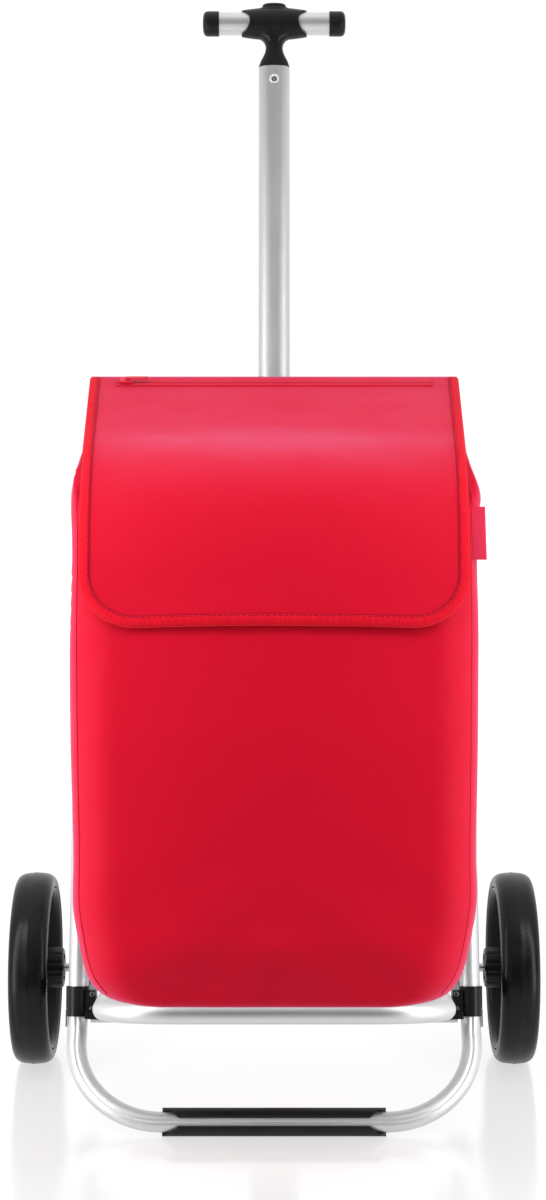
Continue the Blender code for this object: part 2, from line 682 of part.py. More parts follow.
def grip():
    """The two grip bars and their end caps."""
    for side, sign in sides():
        holder = pivot(f"grip_axis_{side}", (0, 0, BAR_Z), HANDLE_AXIS)
        holder.rotation_euler = (0, sign * math.pi / 2, 0)
        inner = BAR_RADIUS - BAR_WALL
        bar = [(BAR_RADIUS, BAR_OUTER_X), (BAR_RADIUS, BAR_INNER_X),
               (inner, BAR_INNER_X), (inner, BAR_OUTER_X)]
        turned(f"grip_bar_{side}", bar, ALUMINIUM, holder, 24)
        bore = BAR_RADIUS + GAP
        cap = [(0, CAP_OUTER_X), (0.0070, CAP_OUTER_X - 0.0004), (0.0098, CAP_OUTER_X - 0.0017),
               (CAP_RADIUS, CAP_OUTER_X - 0.0040), (CAP_RADIUS, CAP_INNER_X + 0.0004),
               (CAP_RADIUS - 0.0003, CAP_INNER_X), (bore, CAP_INNER_X), (bore, BAR_OUTER_X + GAP),
               (0, BAR_OUTER_X + GAP)]
        turned(f"bar_cap_{side}", cap, BLACK_PLASTIC, holder, 24, closed=False)


def release():
    """Push button on top of the hub, its long rod inside the pole and its coil spring."""
    half_x, half_y = BUTTON_HALF
    low, high = BUTTON_Z
    edges = ((0, 0, high - low), (0, 0, 0.0022), (0.0006, 0.0006, 0.0009), (0.0030, 0.0024, 0))
    rings = [oval_ring(half_x - side, half_y - face, high - drop) for side, face, drop in edges]
    add("release_button", loft("release_button", rings), BLACK_PLASTIC, HANDLE_AXIS)
    stem = rod("release_rod", (0, 0, 0.3050), (0, 0, low - GAP), 0.0015, 12)
    add("release_rod", stem, STEEL, HANDLE_AXIS)
    turns, per_turn, coil, wire = 5, 9, 0.0037, 0.0004
    foot, head = WELL_FLOOR + GAP + wire, low - GAP - wire
    points = []
    for index in range(turns * per_turn + 1):
        angle = 2 * math.pi * index / per_turn
        rise = index / (turns * per_turn)
        points.append((coil * math.cos(angle), coil * math.sin(angle), foot + (head - foot) * rise))
    spring = poly_curve("button_spring", points, wire, 1)
    spring.use_fill_caps = True
    add("button_spring", spring, STEEL, HANDLE_AXIS)


# Bag

def bag_front(height):
    """How far forward the bag's front wall is at a height, as y."""
    shoulder_y, shoulder_z = BAG_SHOULDER
    belly = [(BAG_FLOOR, -0.171), (0.0115, -0.1795), (0.018, -0.186), (0.032, -0.190), (0.058, -0.1935),
             (0.110, -0.197), (0.200, -0.200), (FLAP_LOW, -0.197), (shoulder_z, shoulder_y),
             (0.600, shoulder_y + 0.040)]
    for (z0, y0), (z1, y1) in zip(belly, belly[1:]):
        if height <= z1:
            return y0 + (y1 - y0) * max(0, height - z0) / (z1 - z0)
    return belly[-1][1]


def bag_half_width(height):
    """Half the bag's width: rounded lower corners, widest at the shoulder, narrower above it."""
    corner_height, corner_width = 0.095, 0.043
    above = height - BAG_FLOOR
    start, end = BAG_NARROWING
    if above < corner_height:
        drop = 1 - above / corner_height
        return BAG_LOW_HALF - corner_width * (1 - (1 - drop ** 2.4) ** (1 / 2.4))
    if height < start:
        share = (above - corner_height) / (start - BAG_FLOOR - corner_height)
        return BAG_LOW_HALF + (BAG_HALF - BAG_LOW_HALF) * share
    share = min(1, max(0, (height - start) / (end - start)))
    return BAG_HALF + (BAG_TOP_HALF - BAG_HALF) * share


def rounded_rectangle(half_x, rear, front, height, corner_rear, corner_front, steps=4):
    """A ring of points, counter-clockwise from above, from the rear right corner."""
    ring = []
    for sx, y, sy, radius, start in (
            (1, rear, -1, corner_rear, 0), (-1, rear, -1, corner_rear, 90),
            (-1, front, 1, corner_front, 180), (1, front, 1, corner_front, 270)):
        middle = Vector((sx * (half_x - radius), y + sy * radius))
        for step in range(steps + 1):
            angle = math.radians(start + 90 * step / steps)
            ring.append((middle.x + radius * math.cos(angle), middle.y + radius * math.sin(angle), height))
    return ring


def shoulder_normals():
    """Outward normals of the bag's sloping mouth and of its front above the flap's lower edge."""
    shoulder = Vector(BAG_SHOULDER)
    slope = (Vector(BAG_REAR_TOP) - shoulder).normalized()
    front = (Vector((bag_front(FLAP_LOW), FLAP_LOW)) - shoulder).normalized()
    return Vector((-slope.y, slope.x)), Vector((front.y, -front.x))


def bag_body():
    """Soft bag: one wall all round, closed below, with a sloping mouth under the flap."""
    heights = [BAG_FLOOR, 0.0115, 0.018, 0.032, 0.058, 0.105, 0.200, FLAP_LOW, BAG_NARROWING[0],
               BAG_SHOULDER[1], BAG_NARROWING[1], 0.530]
    rings = []
    for height in heights:
        rounding = 0.010 - min(0.010, height - BAG_FLOOR)
        rings.append(rounded_rectangle(
            bag_half_width(height), BAG_REAR - rounding, bag_front(height), height, 0.018, 0.036))
    mesh = loft("bag_body", rings, capped=(True, False))
    slope_out, front_out = shoulder_normals()
    between = (slope_out + front_out).normalized()
    clearance = 0.002
    depth = FLAP_BEND * (1 / between.dot(slope_out) - 1) + clearance
    shoulder = Vector(BAG_SHOULDER)
    shape = bmesh.new()
    shape.from_mesh(mesh)
    for point, normal in ((shoulder, slope_out), (shoulder - between * depth, between)):
        everything = shape.verts[:] + shape.edges[:] + shape.faces[:]
        bmesh.ops.bisect_plane(
            shape, geom=everything, plane_co=(0, *point), plane_no=(0, *normal), clear_outer=True)
    shape.to_mesh(mesh)
    shape.free()
    bag = add("bag_body", mesh, RED_FABRIC)
    wall = bag.modifiers.new("wall", "SOLIDIFY")
    wall.thickness = BAG_WALL
    wall.offset = -1
    wall.use_even_offset = True


def base_board():
    """Stiff board on the floor of the bag."""
    low = BAG_FLOOR + BAG_WALL + 2 * GAP
    ring = [rounded_rectangle(0.098, -0.030, -0.148, z, 0.012, 0.024, 2) for z in (low, low + 0.0025)]
    add("base_board", loft("base_board", ring), BLACK_PLASTIC)


def bag_straps():
    """Webbing loops that tie the bag's back to the side tubes and to the pole guide."""
    for side, sign in sides():
        x, z = sign * 0.1562, 0.365
        outer = oval(0.0105, 0.0108, 0.62, (x, 0))
        inner = oval(0.0090, 0.0093, 0.62, (x, 0))
        loop = upright("hang_strap", [outer, inner], z - 0.0125, z + 0.0125, 4)
        add(f"hang_strap_{side}", loop, RED_FABRIC)
    outer = oval(0.0185, 0.0128, 0.7, (0, POLE_Y))
    inner = oval(0.0168, 0.0112, 0.7, (0, POLE_Y))
    add("pole_strap", upright("pole_strap", [outer, inner], 0.100, 0.125, 4), RED_FABRIC)


def side_label():
    """Blank woven tab sewn into the bag's right front seam; it leans back as the bag's front does."""
    left, right = 0.1507, 0.1611
    thickness = 0.0010
    rings = []
    for y, z in ((-0.1691, 0.337), (-0.1603, 0.379)):
        rings.append([(right, y + thickness, z), (left, y + thickness, z), (left, y, z), (right, y, z)])
    add("side_label", loft("side_label", rings), RED_FABRIC)


# Flap

def flap_route():
    """The flap's middle line from its hinge, over the slope and down the front, as (y, z)."""
    stand = 0.0015 + FLAP_SHEET / 2
    slope_out, front_out = shoulder_normals()
    start = Vector(FLAP_HINGE)
    corner = Vector(BAG_SHOULDER) + (slope_out + front_out) * stand / (1 + slope_out.dot(front_out))
    front = Vector((-front_out.y, front_out.x))
    end = corner + front * ((FLAP_LOW - corner.y) / front.y)
    route = [((0, *start), 0), ((0, *corner), FLAP_BEND), ((0, *end), 0)]
    points = rounded_route(route, 5)
    line = [points[0]] + [points[0].lerp(points[1], i / 3) for i in (1, 2)] + points[1:-1]
    last, tip = points[-2], points[-1]
    for share in (0.35, 0.62, 0.78, 0.90, 0.97, 1.0):
        line.append(last.lerp(tip, share))
    return line


def flap():
    line = flap_route()
    lengths = [0]
    for before, here in zip(line, line[1:]):
        lengths.append(lengths[-1] + (here - before).length)
    total = lengths[-1]
    shape = bmesh.new()
    rows = []
    columns = 8
    for place, length in zip(line, lengths):
        half = FLAP_HALF[0] + (FLAP_HALF[1] - FLAP_HALF[0]) * length / total
        left = total - length
        if left < FLAP_CORNER:
            half -= FLAP_CORNER - math.sqrt(FLAP_CORNER ** 2 - (FLAP_CORNER - left) ** 2)
        across_row = [half * (2 * i / columns - 1) for i in range(columns + 1)]
        rows.append([shape.verts.new((x, place.y, place.z)) for x in across_row])
    for upper, lower in zip(rows, rows[1:]):
        for a, b, c, d in zip(upper, upper[1:], lower[1:], lower):
            shape.faces.new((a, d, c, b))
    mesh = bpy.data.meshes.new("bag_flap")
    shape.to_mesh(mesh)
    shape.free()
    smooth(mesh)
    mesh.transform(Matrix.Translation((0, -FLAP_HINGE[0], -FLAP_HINGE[1])))
    piece = add("bag_flap", mesh, RED_FABRIC, FLAP_AXIS)
    sheet = piece.modifiers.new("sheet", "SOLIDIFY")
    sheet.thickness = FLAP_SHEET
    sheet.offset = 0


def flap_zip():
    """Zip across the flap near its hinge, with a slider and its pull tab."""
    line = flap_route()
    down = (line[2] - line[0]).normalized()
    slope = math.atan2(down.z, -down.y)
    place = line[0] + down * 0.0145
    holder = pivot("zip_line", (0, place.y - FLAP_HINGE[0], place.z - FLAP_HINGE[1]), FLAP_AXIS, -slope)
    top = FLAP_SHEET / 2 + GAP
    tape = block("zip_tape", (-ZIP_HALF, -0.0055, top), (ZIP_HALF, 0.0055, top + 0.0010))
    add("zip_tape", tape, RED_FABRIC, holder)
    start, above = -ZIP_HALF + 0.004, top + 0.0010 + GAP
    body = block("zip_slider", (start, -0.0042, above), (start + 0.0095, 0.0042, above + 0.0024))
    slider = add("zip_slider", body, STEEL, holder)
    bevel(slider, 0.0007, 2)
    pin = pivot("zip_pull_axis", (start + 0.0048, 0, above + 0.0036), holder)
    add("zip_pull", block("zip_pull", (-0.0008, -0.0020, -0.0005), (0.0182, 0.0020, 0.0005)), STEEL, pin)


def build():
    for side, sign in sides():
        wheel(side, sign)
    foot_loop()
    foot_pad()
    side_tubes()
    brackets()
    cross_rod()
    axle()
    platform()
    pole_socket()
    pole_guide()
    top_bridge()
    handle_pole()
    pole_shoe()
    handle_hub()
    pole_screw()
    grip()
    release()
    bag_body()
    base_board()
    bag_straps()
    side_label()
    flap()
    flap_zip()


build()
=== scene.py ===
"""Looks of the shopping trolley: fine metal, plastic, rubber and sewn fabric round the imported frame.

Most pieces are drawn in the lean frame, as the CAD is: its origin is the middle of the support's
hinge, X runs across, Y runs backwards and Z runs up along the pole.  Metres throughout.
"""
import json
import math

import bmesh
import bpy
import numpy as np
from mathutils import Matrix, Vector, noise


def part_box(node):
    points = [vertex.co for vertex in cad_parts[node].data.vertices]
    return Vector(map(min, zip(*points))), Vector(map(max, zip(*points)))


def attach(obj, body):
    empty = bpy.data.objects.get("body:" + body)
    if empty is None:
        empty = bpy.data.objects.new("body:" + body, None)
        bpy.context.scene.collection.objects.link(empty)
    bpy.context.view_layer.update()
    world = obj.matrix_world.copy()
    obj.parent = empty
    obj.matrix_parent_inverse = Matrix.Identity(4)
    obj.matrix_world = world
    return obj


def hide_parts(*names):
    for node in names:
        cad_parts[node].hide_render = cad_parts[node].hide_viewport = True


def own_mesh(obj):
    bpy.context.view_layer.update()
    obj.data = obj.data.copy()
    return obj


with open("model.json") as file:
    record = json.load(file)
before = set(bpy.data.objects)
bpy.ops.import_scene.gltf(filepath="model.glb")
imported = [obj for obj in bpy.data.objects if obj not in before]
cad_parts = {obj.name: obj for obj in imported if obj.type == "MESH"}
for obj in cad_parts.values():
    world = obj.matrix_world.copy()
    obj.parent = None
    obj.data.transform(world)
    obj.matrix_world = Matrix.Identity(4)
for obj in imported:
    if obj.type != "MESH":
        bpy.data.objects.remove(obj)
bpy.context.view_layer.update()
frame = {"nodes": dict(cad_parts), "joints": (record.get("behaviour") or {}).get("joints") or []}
NODES = frame["nodes"]
JOINTS = {joint["name"]: joint for joint in frame["joints"]}


# The lean frame, read from the joints

def lean_matrix():
    up = -Vector(JOINTS["handle_slide"]["axis"]).normalized()
    back = up.cross(Vector((1, 0, 0)))
    turn = Matrix(((1, 0, 0), tuple(back), tuple(up))).transposed()
    return Matrix.Translation(Vector(JOINTS["platform_fold"]["pos_m"])) @ turn.to_4x4()


LEAN = lean_matrix()
UNLEAN = LEAN.inverted()


def span(node):
    """Lowest and highest corner of a CAD node in the lean frame."""
    co = np.array([UNLEAN @ v.co for v in NODES[node].data.vertices])
    return Vector(co.min(0)), Vector(co.max(0))


def extent(node):
    """Middle of a CAD node and half its size in the lean frame."""
    low, high = span(node)
    return (low + high) / 2, (high - low) / 2


# Materials

class Nodes:
    """Short hand for building the node tree of a new material, or of a world."""

    def __init__(self, name, world=None):
        self.owner = world or bpy.data.materials.new(name)
        self.owner.use_nodes = True
        self.tree = self.owner.node_tree
        self.shader = self.tree.nodes["Background" if world else "Principled BSDF"]

    def plug(self, socket, value):
        """Link an output to a socket, or set its number or colour; None leaves it as it is."""
        if isinstance(value, bpy.types.NodeSocket):
            self.tree.links.new(value, socket)
        elif isinstance(value, tuple) and socket.type == "RGBA":
            socket.default_value = (*value, 1)
        elif value is not None:
            socket.default_value = value

    def new(self, kind, sockets=(), **settings):
        node = self.tree.nodes.new(kind)
        for key, value in settings.items():
            setattr(node, key, value)
        for key, value in dict(sockets).items():
            self.plug(node.inputs[key], value)
        return node

    def coordinates(self, kind, scale=(1, 1, 1)):
        where = self.new("ShaderNodeTexCoord").outputs[kind]
        return self.new("ShaderNodeMapping", {"Vector": where, "Scale": scale}).outputs["Vector"]

    def axes(self, vector):
        return self.new("ShaderNodeSeparateXYZ", {0: vector}).outputs

    def noise(self, vector, scale, detail=3.0, rough=0.5):
        sockets = {"Vector": vector, "Scale": scale, "Detail": detail, "Roughness": rough}
        return self.new("ShaderNodeTexNoise", sockets).outputs["Fac"]

    def math(self, operation, *values):
        return self.new("ShaderNodeMath", enumerate(values), operation=operation).outputs[0]

    def spread(self, value, low, high, start=0.3, end=0.7, **settings):
        """Map start..end, where most of a 0..1 noise lies, to low..high."""
        sockets = {"Value": value, "From Min": start, "From Max": end, "To Min": low, "To Max": high}
        return self.new("ShaderNodeMapRange", sockets, **settings).outputs["Result"]

    def mix(self, factor, first, second):
        sockets = {"Factor": factor, "A": first, "B": second}
        return self.new("ShaderNodeMix", sockets, data_type="RGBA").outputs["Result"]

    def bump(self, height, distance, strength=1.0, below=None):
        sockets = {"Height": height, "Distance": distance, "Strength": strength, "Normal": below}
        return self.new("ShaderNodeBump", sockets).outputs["Normal"]

    def finish(self, colour, roughness, normal=None, **sockets):
        sockets.update(Base_Color=colour, Roughness=roughness, Normal=normal)
        for name, value in sockets.items():
            self.plug(self.shader.inputs[name.replace("_", " ")], value)
        return self.owner


def scaled(colour, factor):
    return tuple(min(1, c * factor) for c in colour)


def woven(name, colour, pitch=0.0006, sheen=0.49, depth=0.00006):
    """Plain woven polyester on the UV map, which is in metres."""
    n = Nodes(name)
    axes = n.axes(n.coordinates("UV"))
    waves = [n.math("SINE", n.math("MULTIPLY", axes[axis], math.pi / pitch)) for axis in ("X", "Y")]
    weave = n.math("ABSOLUTE", n.math("MULTIPLY", *waves))
    threads = n.noise(n.coordinates("UV", (1, 0.06, 1)), 900, 2)
    across = n.noise(n.coordinates("UV", (0.06, 1, 1)), 900, 2)
    slub = n.math("MULTIPLY", n.math("ADD", threads, across), 0.5)
    cloudy = n.noise(n.coordinates("Object"), 9, 4)
    base = n.mix(n.spread(slub, 0, 1), scaled(colour, 0.95), scaled(colour, 1.04))
    tone = n.mix(n.spread(cloudy, 0, 0.30), base, scaled(colour, 0.93))
    # Painted shade: the gaps between the threads are darkened towards 0.6 of the colour.
    gap_shade = n.math("MULTIPLY", n.math("SUBTRACT", 1, weave), 0.16)
    soft = n.bump(n.noise(n.coordinates("Object"), 55, 3), 0.0009, 0.35)
    rough = n.spread(n.noise(n.coordinates("Object"), 30, 3), 0.50, 0.62)
    return n.finish(n.mix(gap_shade, tone, scaled(colour, 0.6)), rough, n.bump(weave, depth, 0.55, soft),
                    Sheen_Weight=sheen, Sheen_Roughness=0.42, Sheen_Tint=(1.0, 0.38, 0.80),
                    Specular_IOR_Level=0.06)


def ribbed_tape(name, colour, pitch=0.0011):
    """Grosgrain binding: fine ribs across the tape's length, U along it."""
    n = Nodes(name)
    turns = n.math("MULTIPLY", n.axes(n.coordinates("UV"))["X"], math.pi / pitch)
    ribs = n.math("ABSOLUTE", n.math("SINE", turns))
    threads = n.noise(n.coordinates("UV", (1, 0.1, 1)), 1400, 2)
    base = n.mix(n.spread(threads, 0, 1), scaled(colour, 0.86), scaled(colour, 1.1))
    # Painted shade: the grooves between the ribs are darkened towards half the colour.
    tone = n.mix(n.math("MULTIPLY", n.math("SUBTRACT", 1, ribs), 0.24), base, scaled(colour, 0.5))
    return n.finish(tone, n.spread(threads, 0.50, 0.66), n.bump(ribs, 0.00020, 0.7), Sheen_Weight=0.10,
                    Sheen_Roughness=0.4, Sheen_Tint=(1, 0.3, 0.4), Specular_IOR_Level=0.06)


def anodised(name, colour=(0.68, 0.685, 0.695), rough=0.46):
    """Satin anodised aluminium with drawn lines along U."""
    n = Nodes(name)
    lines = n.noise(n.coordinates("UV", (3, 900, 1)), 1.0, 4, 0.6)
    cloud = n.noise(n.coordinates("Object"), 25, 4)
    marks = n.noise(n.coordinates("Object"), 260, 2)
    tone = n.mix(n.spread(lines, 0, 1), scaled(colour, 0.94), scaled(colour, 1.05))
    tone = n.mix(n.spread(marks, 0, 0.06), tone, (0.35, 0.35, 0.36))
    roughness = n.math("ADD", n.spread(lines, rough - 0.04, rough + 0.05), n.spread(cloud, -0.02, 0.03))
    return n.finish(tone, roughness, n.bump(lines, 0.00002, 0.35), Metallic=0.90, Anisotropic=0.25)


def steel(name, colour=(0.62, 0.62, 0.63), rough=0.24, metallic=1.0):
    """Zinc-plated steel with faint blotches."""
    n = Nodes(name)
    where = n.coordinates("Object")
    spots, cloud = n.noise(where, 320, 3), n.noise(where, 60, 4)
    tone = n.mix(n.spread(spots, 0, 0.5), colour, scaled(colour, 0.80))
    roughness = n.spread(cloud, rough - 0.05, rough + 0.10)
    return n.finish(tone, roughness, n.bump(spots, 0.00002, 0.4), Metallic=metallic)


def moulded(name, colour, rough=0.34, grain=0.00004, scale=1500):
    """Moulded plastic, or paint, with a fine grain and faint scuffs."""
    n = Nodes(name)
    where = n.coordinates("Object")
    pits, cloud = n.noise(where, scale, 2), n.noise(where, 22, 4)
    scuffs = n.noise(n.coordinates("Object", (1, 1, 0.15)), 180, 3)
    tone = n.mix(n.spread(cloud, 0, 1), colour, tuple(c * 1.35 + 0.001 for c in colour))
    tone = n.mix(n.spread(scuffs, 0, 0.04), tone, (0.05, 0.05, 0.055))
    roughness = n.math("ADD", n.spread(pits, rough - 0.03, rough + 0.05), n.spread(scuffs, -0.02, 0.05))
    return n.finish(tone, roughness, n.bump(pits, grain, 0.5), Specular_IOR_Level=0.22)


def rubber(name, colour=(0.0036, 0.0036, 0.0040), rough=0.27):
    """Black rubber with a mould texture and a light bloom."""
    n = Nodes(name)
    where = n.coordinates("Object")
    pits, bloom = n.noise(where, 900, 3), n.noise(where, 34, 5)
    tone = n.mix(n.spread(bloom, 0, 1), colour, tuple(c * 1.6 + 0.001 for c in colour))
    roughness = n.math("ADD", n.spread(bloom, rough - 0.04, rough + 0.07), n.spread(pits, -0.03, 0.03))
    return n.finish(tone, roughness, n.bump(pits, 0.00004, 0.4), Specular_IOR_Level=0.20)


ALUMINIUM = anodised("anodised aluminium")
POLISHED = anodised("satin grip aluminium", (0.76, 0.76, 0.77), 0.42)
STEEL = steel("plated steel")
# Painted highlight: the rivet's metal is paled to 0.9 and made partly non-metallic, so that it looks lit
# although it faces the dark front.
RIVET_PAINTED_HIGHLIGHT = steel("rivet metal paled as painted highlight", (0.90, 0.90, 0.90), 0.35, 0.6)
DARK_STEEL = steel("blackened steel", (0.10, 0.10, 0.105), 0.28)
PLASTIC = moulded("black moulded plastic", (0.0045, 0.0045, 0.0050))
HANDLE_PLASTIC = moulded("handle plastic", (0.0065, 0.0065, 0.0075), 0.27, 0.00003, 1900)
# Painted highlight: the rim's lip is the same black plastic, coloured light grey to stand for its shine.
RIM_LIP_HIGHLIGHT = moulded("black rim plastic with painted lip highlight", (0.10, 0.10, 0.10), 0.25)
TYRE = rubber("tyre rubber")
PAD = rubber("pad rubber", (0.0075, 0.0075, 0.0085), 0.50)
FABRIC = woven("red polyester", (0.600, 0.0021, 0.0180))
LINING = woven("bag lining", (0.20, 0.006, 0.014), 0.0009, 0.15)
BINDING = ribbed_tape("orange red binding", (0.680, 0.0050, 0.0200))
WEBBING = ribbed_tape("red webbing", (0.52, 0.009, 0.028), 0.0016)
# Painted shade: this dark thread colour also makes the cord that stands for the shade in the binding's
# crease.
THREAD_AND_CREASE_SHADE = woven("dark red thread and painted crease shade", (0.34, 0.004, 0.026), 0.0004, 0.1)
ZIP_CLOTH = woven("zip cloth", (0.62, 0.010, 0.032), 0.0005, 0.2)
ZIP_PAINT = moulded("painted zip metal", (0.50, 0.010, 0.030), 0.30, 0.00002, 2500)
LABEL = woven("blank woven label", (0.70, 0.030, 0.085), 0.0005, 0.3)
BOARD = moulded("board plastic", (0.045, 0.045, 0.050), 0.6, 0.0001, 700)


# Mesh tools

def linked(name, data):
    """A new object of the data, in the scene."""
    thing = bpy.data.objects.new(name, data)
    bpy.context.scene.collection.objects.link(thing)
    return thing


def place(name, mesh, look, body, slot, *replaced, at=None):
    """Make a piece, hang it on a body and hide the CAD nodes it stands for.  The red cloth is left
    out of reflections, so that the tubes and the floor stay neutral."""
    piece = linked(name, mesh)
    piece.matrix_world = LEAN if at is None else at
    if not mesh.materials:
        mesh.materials.append(look)
    piece.visible_glossy = look not in (FABRIC, LINING, BINDING)
    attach(piece, body)
    if replaced:
        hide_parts(*replaced)
    return piece


def shade(mesh, angle=40):
    mesh.shade_smooth()
    mesh.set_sharp_from_angle(angle=math.radians(angle))
    return mesh


def reshaped(mesh, change):
    """Change a mesh through a bmesh."""
    shape = bmesh.new()
    shape.from_mesh(mesh)
    change(shape)
    shape.to_mesh(mesh)
    shape.free()
    return mesh


def welded(shape):
    """Weld double points and turn the faces outwards."""
    bmesh.ops.remove_doubles(shape, verts=shape.verts, dist=1e-6)
    bmesh.ops.recalc_face_normals(shape, faces=shape.faces)


def grid_mesh(name, rows, uv_rows=None, wrap=False, caps=False):
    """A mesh of quads from rows of points; wrap joins each row's end to its start."""
    count, wide = len(rows), len(rows[0])
    points = [tuple(p) for row in rows for p in row]
    faces, corners = [], []
    for i in range(count - 1):
        for j in range(wide if wrap else wide - 1):
            k = (j + 1) % wide
            faces.append((i * wide + j, i * wide + k, (i + 1) * wide + k, (i + 1) * wide + j))
            corners.append(((i, j), (i, j + 1), (i + 1, j + 1), (i + 1, j)))
    if caps:
        faces.append(tuple(reversed(range(wide))))
        faces.append(tuple((count - 1) * wide + j for j in range(wide)))
        corners.append([(0, j) for j in reversed(range(wide))])
        corners.append([(count - 1, j) for j in range(wide)])
    mesh = bpy.data.meshes.new(name)
    mesh.from_pydata(points, [], faces)
    if uv_rows is not None:
        layer = mesh.uv_layers.new(name="cloth")
        index = 0
        for face in corners:
            for i, j in face:
                layer.data[index].uv = uv_rows[i][min(j, len(uv_rows[i]) - 1)]
                index += 1
    mesh.validate()
    return mesh


def lengths(points):
    """Distance along a line of points."""
    total = [0.0]
    for before, here in zip(points, points[1:]):
        total.append(total[-1] + (Vector(here) - Vector(before)).length)
    return total


def spot(total, where):
    """The segment of a line at a distance along it, and the share of the way through it."""
    k = max(i for i, length in enumerate(total[:-1]) if length <= where + 1e-12)
    return k, (where - total[k]) / max(1e-9, total[k + 1] - total[k])


def frames(points, across=None):
    """Direction, side and normal at each point of a route, turned as little as possible."""
    points = [Vector(p) for p in points]
    result, side = [], Vector(across) if across else None
    for index, point in enumerate(points):
        before, after = points[max(0, index - 1)], points[min(len(points) - 1, index + 1)]
        along = (after - before).normalized()
        if side is None:
            side = along.orthogonal()
        side = (side - along * side.dot(along)).normalized()
        result.append((point, along, side, along.cross(side)))
    return result


def sweep(name, points, section, across=None, caps=True, closed=True, facing=None):
    """Sweep a section of (side, normal) offsets along points; section may also be a function of the
    share of the way that gives such a list.  With facing, the normal keeps to that direction."""
    total = lengths(points)
    rows, uvs = [], []
    for (point, along, side, normal), length in zip(frames(points, across), total):
        if facing:
            side = Vector(facing).cross(along).normalized()
            normal = along.cross(side)
        outline = section(length / total[-1]) if callable(section) else section
        rows.append([point + side * a + normal * b for a, b in outline])
        round_length = lengths([(a, b, 0) for a, b in outline] + ([(*outline[0], 0)] if closed else []))
        uvs.append([(length, r) for r in round_length])
    return shade(grid_mesh(name, rows, uvs, wrap=closed, caps=caps and closed))


def ring_section(radius, count=32, groove=0.0, where=0.0, width=0.35):
    """A round section; a groove of that depth runs at the angle where."""
    section = []
    for index in range(count):
        angle = 2 * math.pi * index / count
        away = math.atan2(math.sin(angle - where), math.cos(angle - where))
        size = radius - groove * math.exp(-(away / width) ** 2)
        section.append((size * math.cos(angle), size * math.sin(angle)))
    return section


def rounded_route(corners, spacing=0.006):
    """Close points along straight lines with rounded corners, given as (point, radius)."""
    ends = [Vector(corners[0][0])]
    for before, here, after in zip(corners, corners[1:], corners[2:]):
        corner, radius = Vector(here[0]), here[1]
        into = (corner - Vector(before[0])).normalized()
        out = (Vector(after[0]) - corner).normalized()
        turn = into.angle(out)
        start = corner - into * radius * math.tan(turn / 2)
        middle = start + (out - into * into.dot(out)).normalized() * radius
        axis = into.cross(out).normalized()
        steps = max(4, round(radius * turn / spacing))
        for step in range(steps + 1):
            ends.append(middle + Matrix.Rotation(turn * step / steps, 3, axis) @ (start - middle))
    ends.append(Vector(corners[-1][0]))
    route = [ends[0]]
    for before, here in zip(ends, ends[1:]):
        pieces = max(1, round((here - before).length / (3 * spacing)))
        route.extend(before.lerp(here, i / pieces) for i in range(1, pieces + 1))
    return route


def turned(name, profile, steps=72, bumps=None):
    """A mesh turned about Z from (radius, height) points; bumps(angle, radius, height) moves a point."""
    rows, uvs = [], []
    total = lengths([(r, h, 0) for r, h in profile])
    for step in range(steps):
        angle = 2 * math.pi * step / steps
        row = []
        for radius, height in profile:
            r, h = bumps(angle, radius, height) if bumps else (radius, height)
            row.append((r * math.cos(angle), r * math.sin(angle), h))
        rows.append(row)
        uvs.append([(angle * 0.05, length) for length in total])
    rows.append(rows[0])
    uvs.append([(2 * math.pi * 0.05, length) for length in total])
    return shade(reshaped(grid_mesh(name, rows, uvs), welded), 32)


def joined(name, meshes):
    """One mesh of several, with their UVs."""
    shape = bmesh.new()
    for mesh in meshes:
        shape.from_mesh(mesh)
    result = bpy.data.meshes.new(name)
    shape.to_mesh(result)
    shape.free()
    return result


def stitches(name, points, normals, length=0.0032, gap=0.0012, radius=0.00034):
    """Short rounded threads that lie along a line of points, each sunk into the cloth at its ends."""
    total = lengths(points)
    count = int(total[-1] / (length + gap))
    meshes = []
    for index in range(count):
        middle = (index + 0.5) * total[-1] / count
        row = []
        for share in (-0.5, -0.3, 0.0, 0.3, 0.5):
            k, part = spot(total, min(max(middle + share * length, 0), total[-1]))
            lift = radius * (1.6 * (1 - (2 * share) ** 2) - 0.8)
            row.append(Vector(points[k]).lerp(Vector(points[k + 1]), part) + Vector(normals[k]) * lift)
        meshes.append(sweep("stitch", row, ring_section(radius, 6)))
    return joined(name, meshes)


def modified(mesh, *steps):
    """A mesh after modifiers, each given as (kind, settings)."""
    scratch = linked("scratch", mesh)
    for kind, settings in steps:
        step = scratch.modifiers.new("step", kind)
        for key, value in settings.items():
            setattr(step, key, value)
    bpy.context.view_layer.update()
    seen = scratch.evaluated_get(bpy.context.evaluated_depsgraph_get())
    result = bpy.data.meshes.new_from_object(seen)
    bpy.data.objects.remove(scratch)
    return result


def boolean(target, tools, operation):
    """Apply exact Booleans of scratch meshes to a scratch mesh."""
    others = [linked("scratch_tool", tool) for tool in tools]
    result = modified(target, *[("BOOLEAN", {"operation": operation, "solver": "EXACT", "object": other})
                                for other in others])
    for other in others:
        bpy.data.objects.remove(other)
    return result


def softened(mesh, voxel, rounds):
    """Remesh a solid evenly and smooth it, so that its edges read as moulded."""
    result = modified(mesh, ("REMESH", {"mode": "VOXEL", "voxel_size": voxel, "adaptivity": 0}),
                      ("SMOOTH", {"iterations": rounds, "factor": 0.5}))
    result.shade_smooth()
    return result


def thick_cloth(mesh, thickness, offset, inside=0):
    """Give a surface its thickness; inside is the material step of the far face."""
    settings = {"thickness": thickness, "offset": offset, "material_offset": inside}
    result = modified(mesh, ("SOLIDIFY", settings))
    result.shade_smooth()
    return result


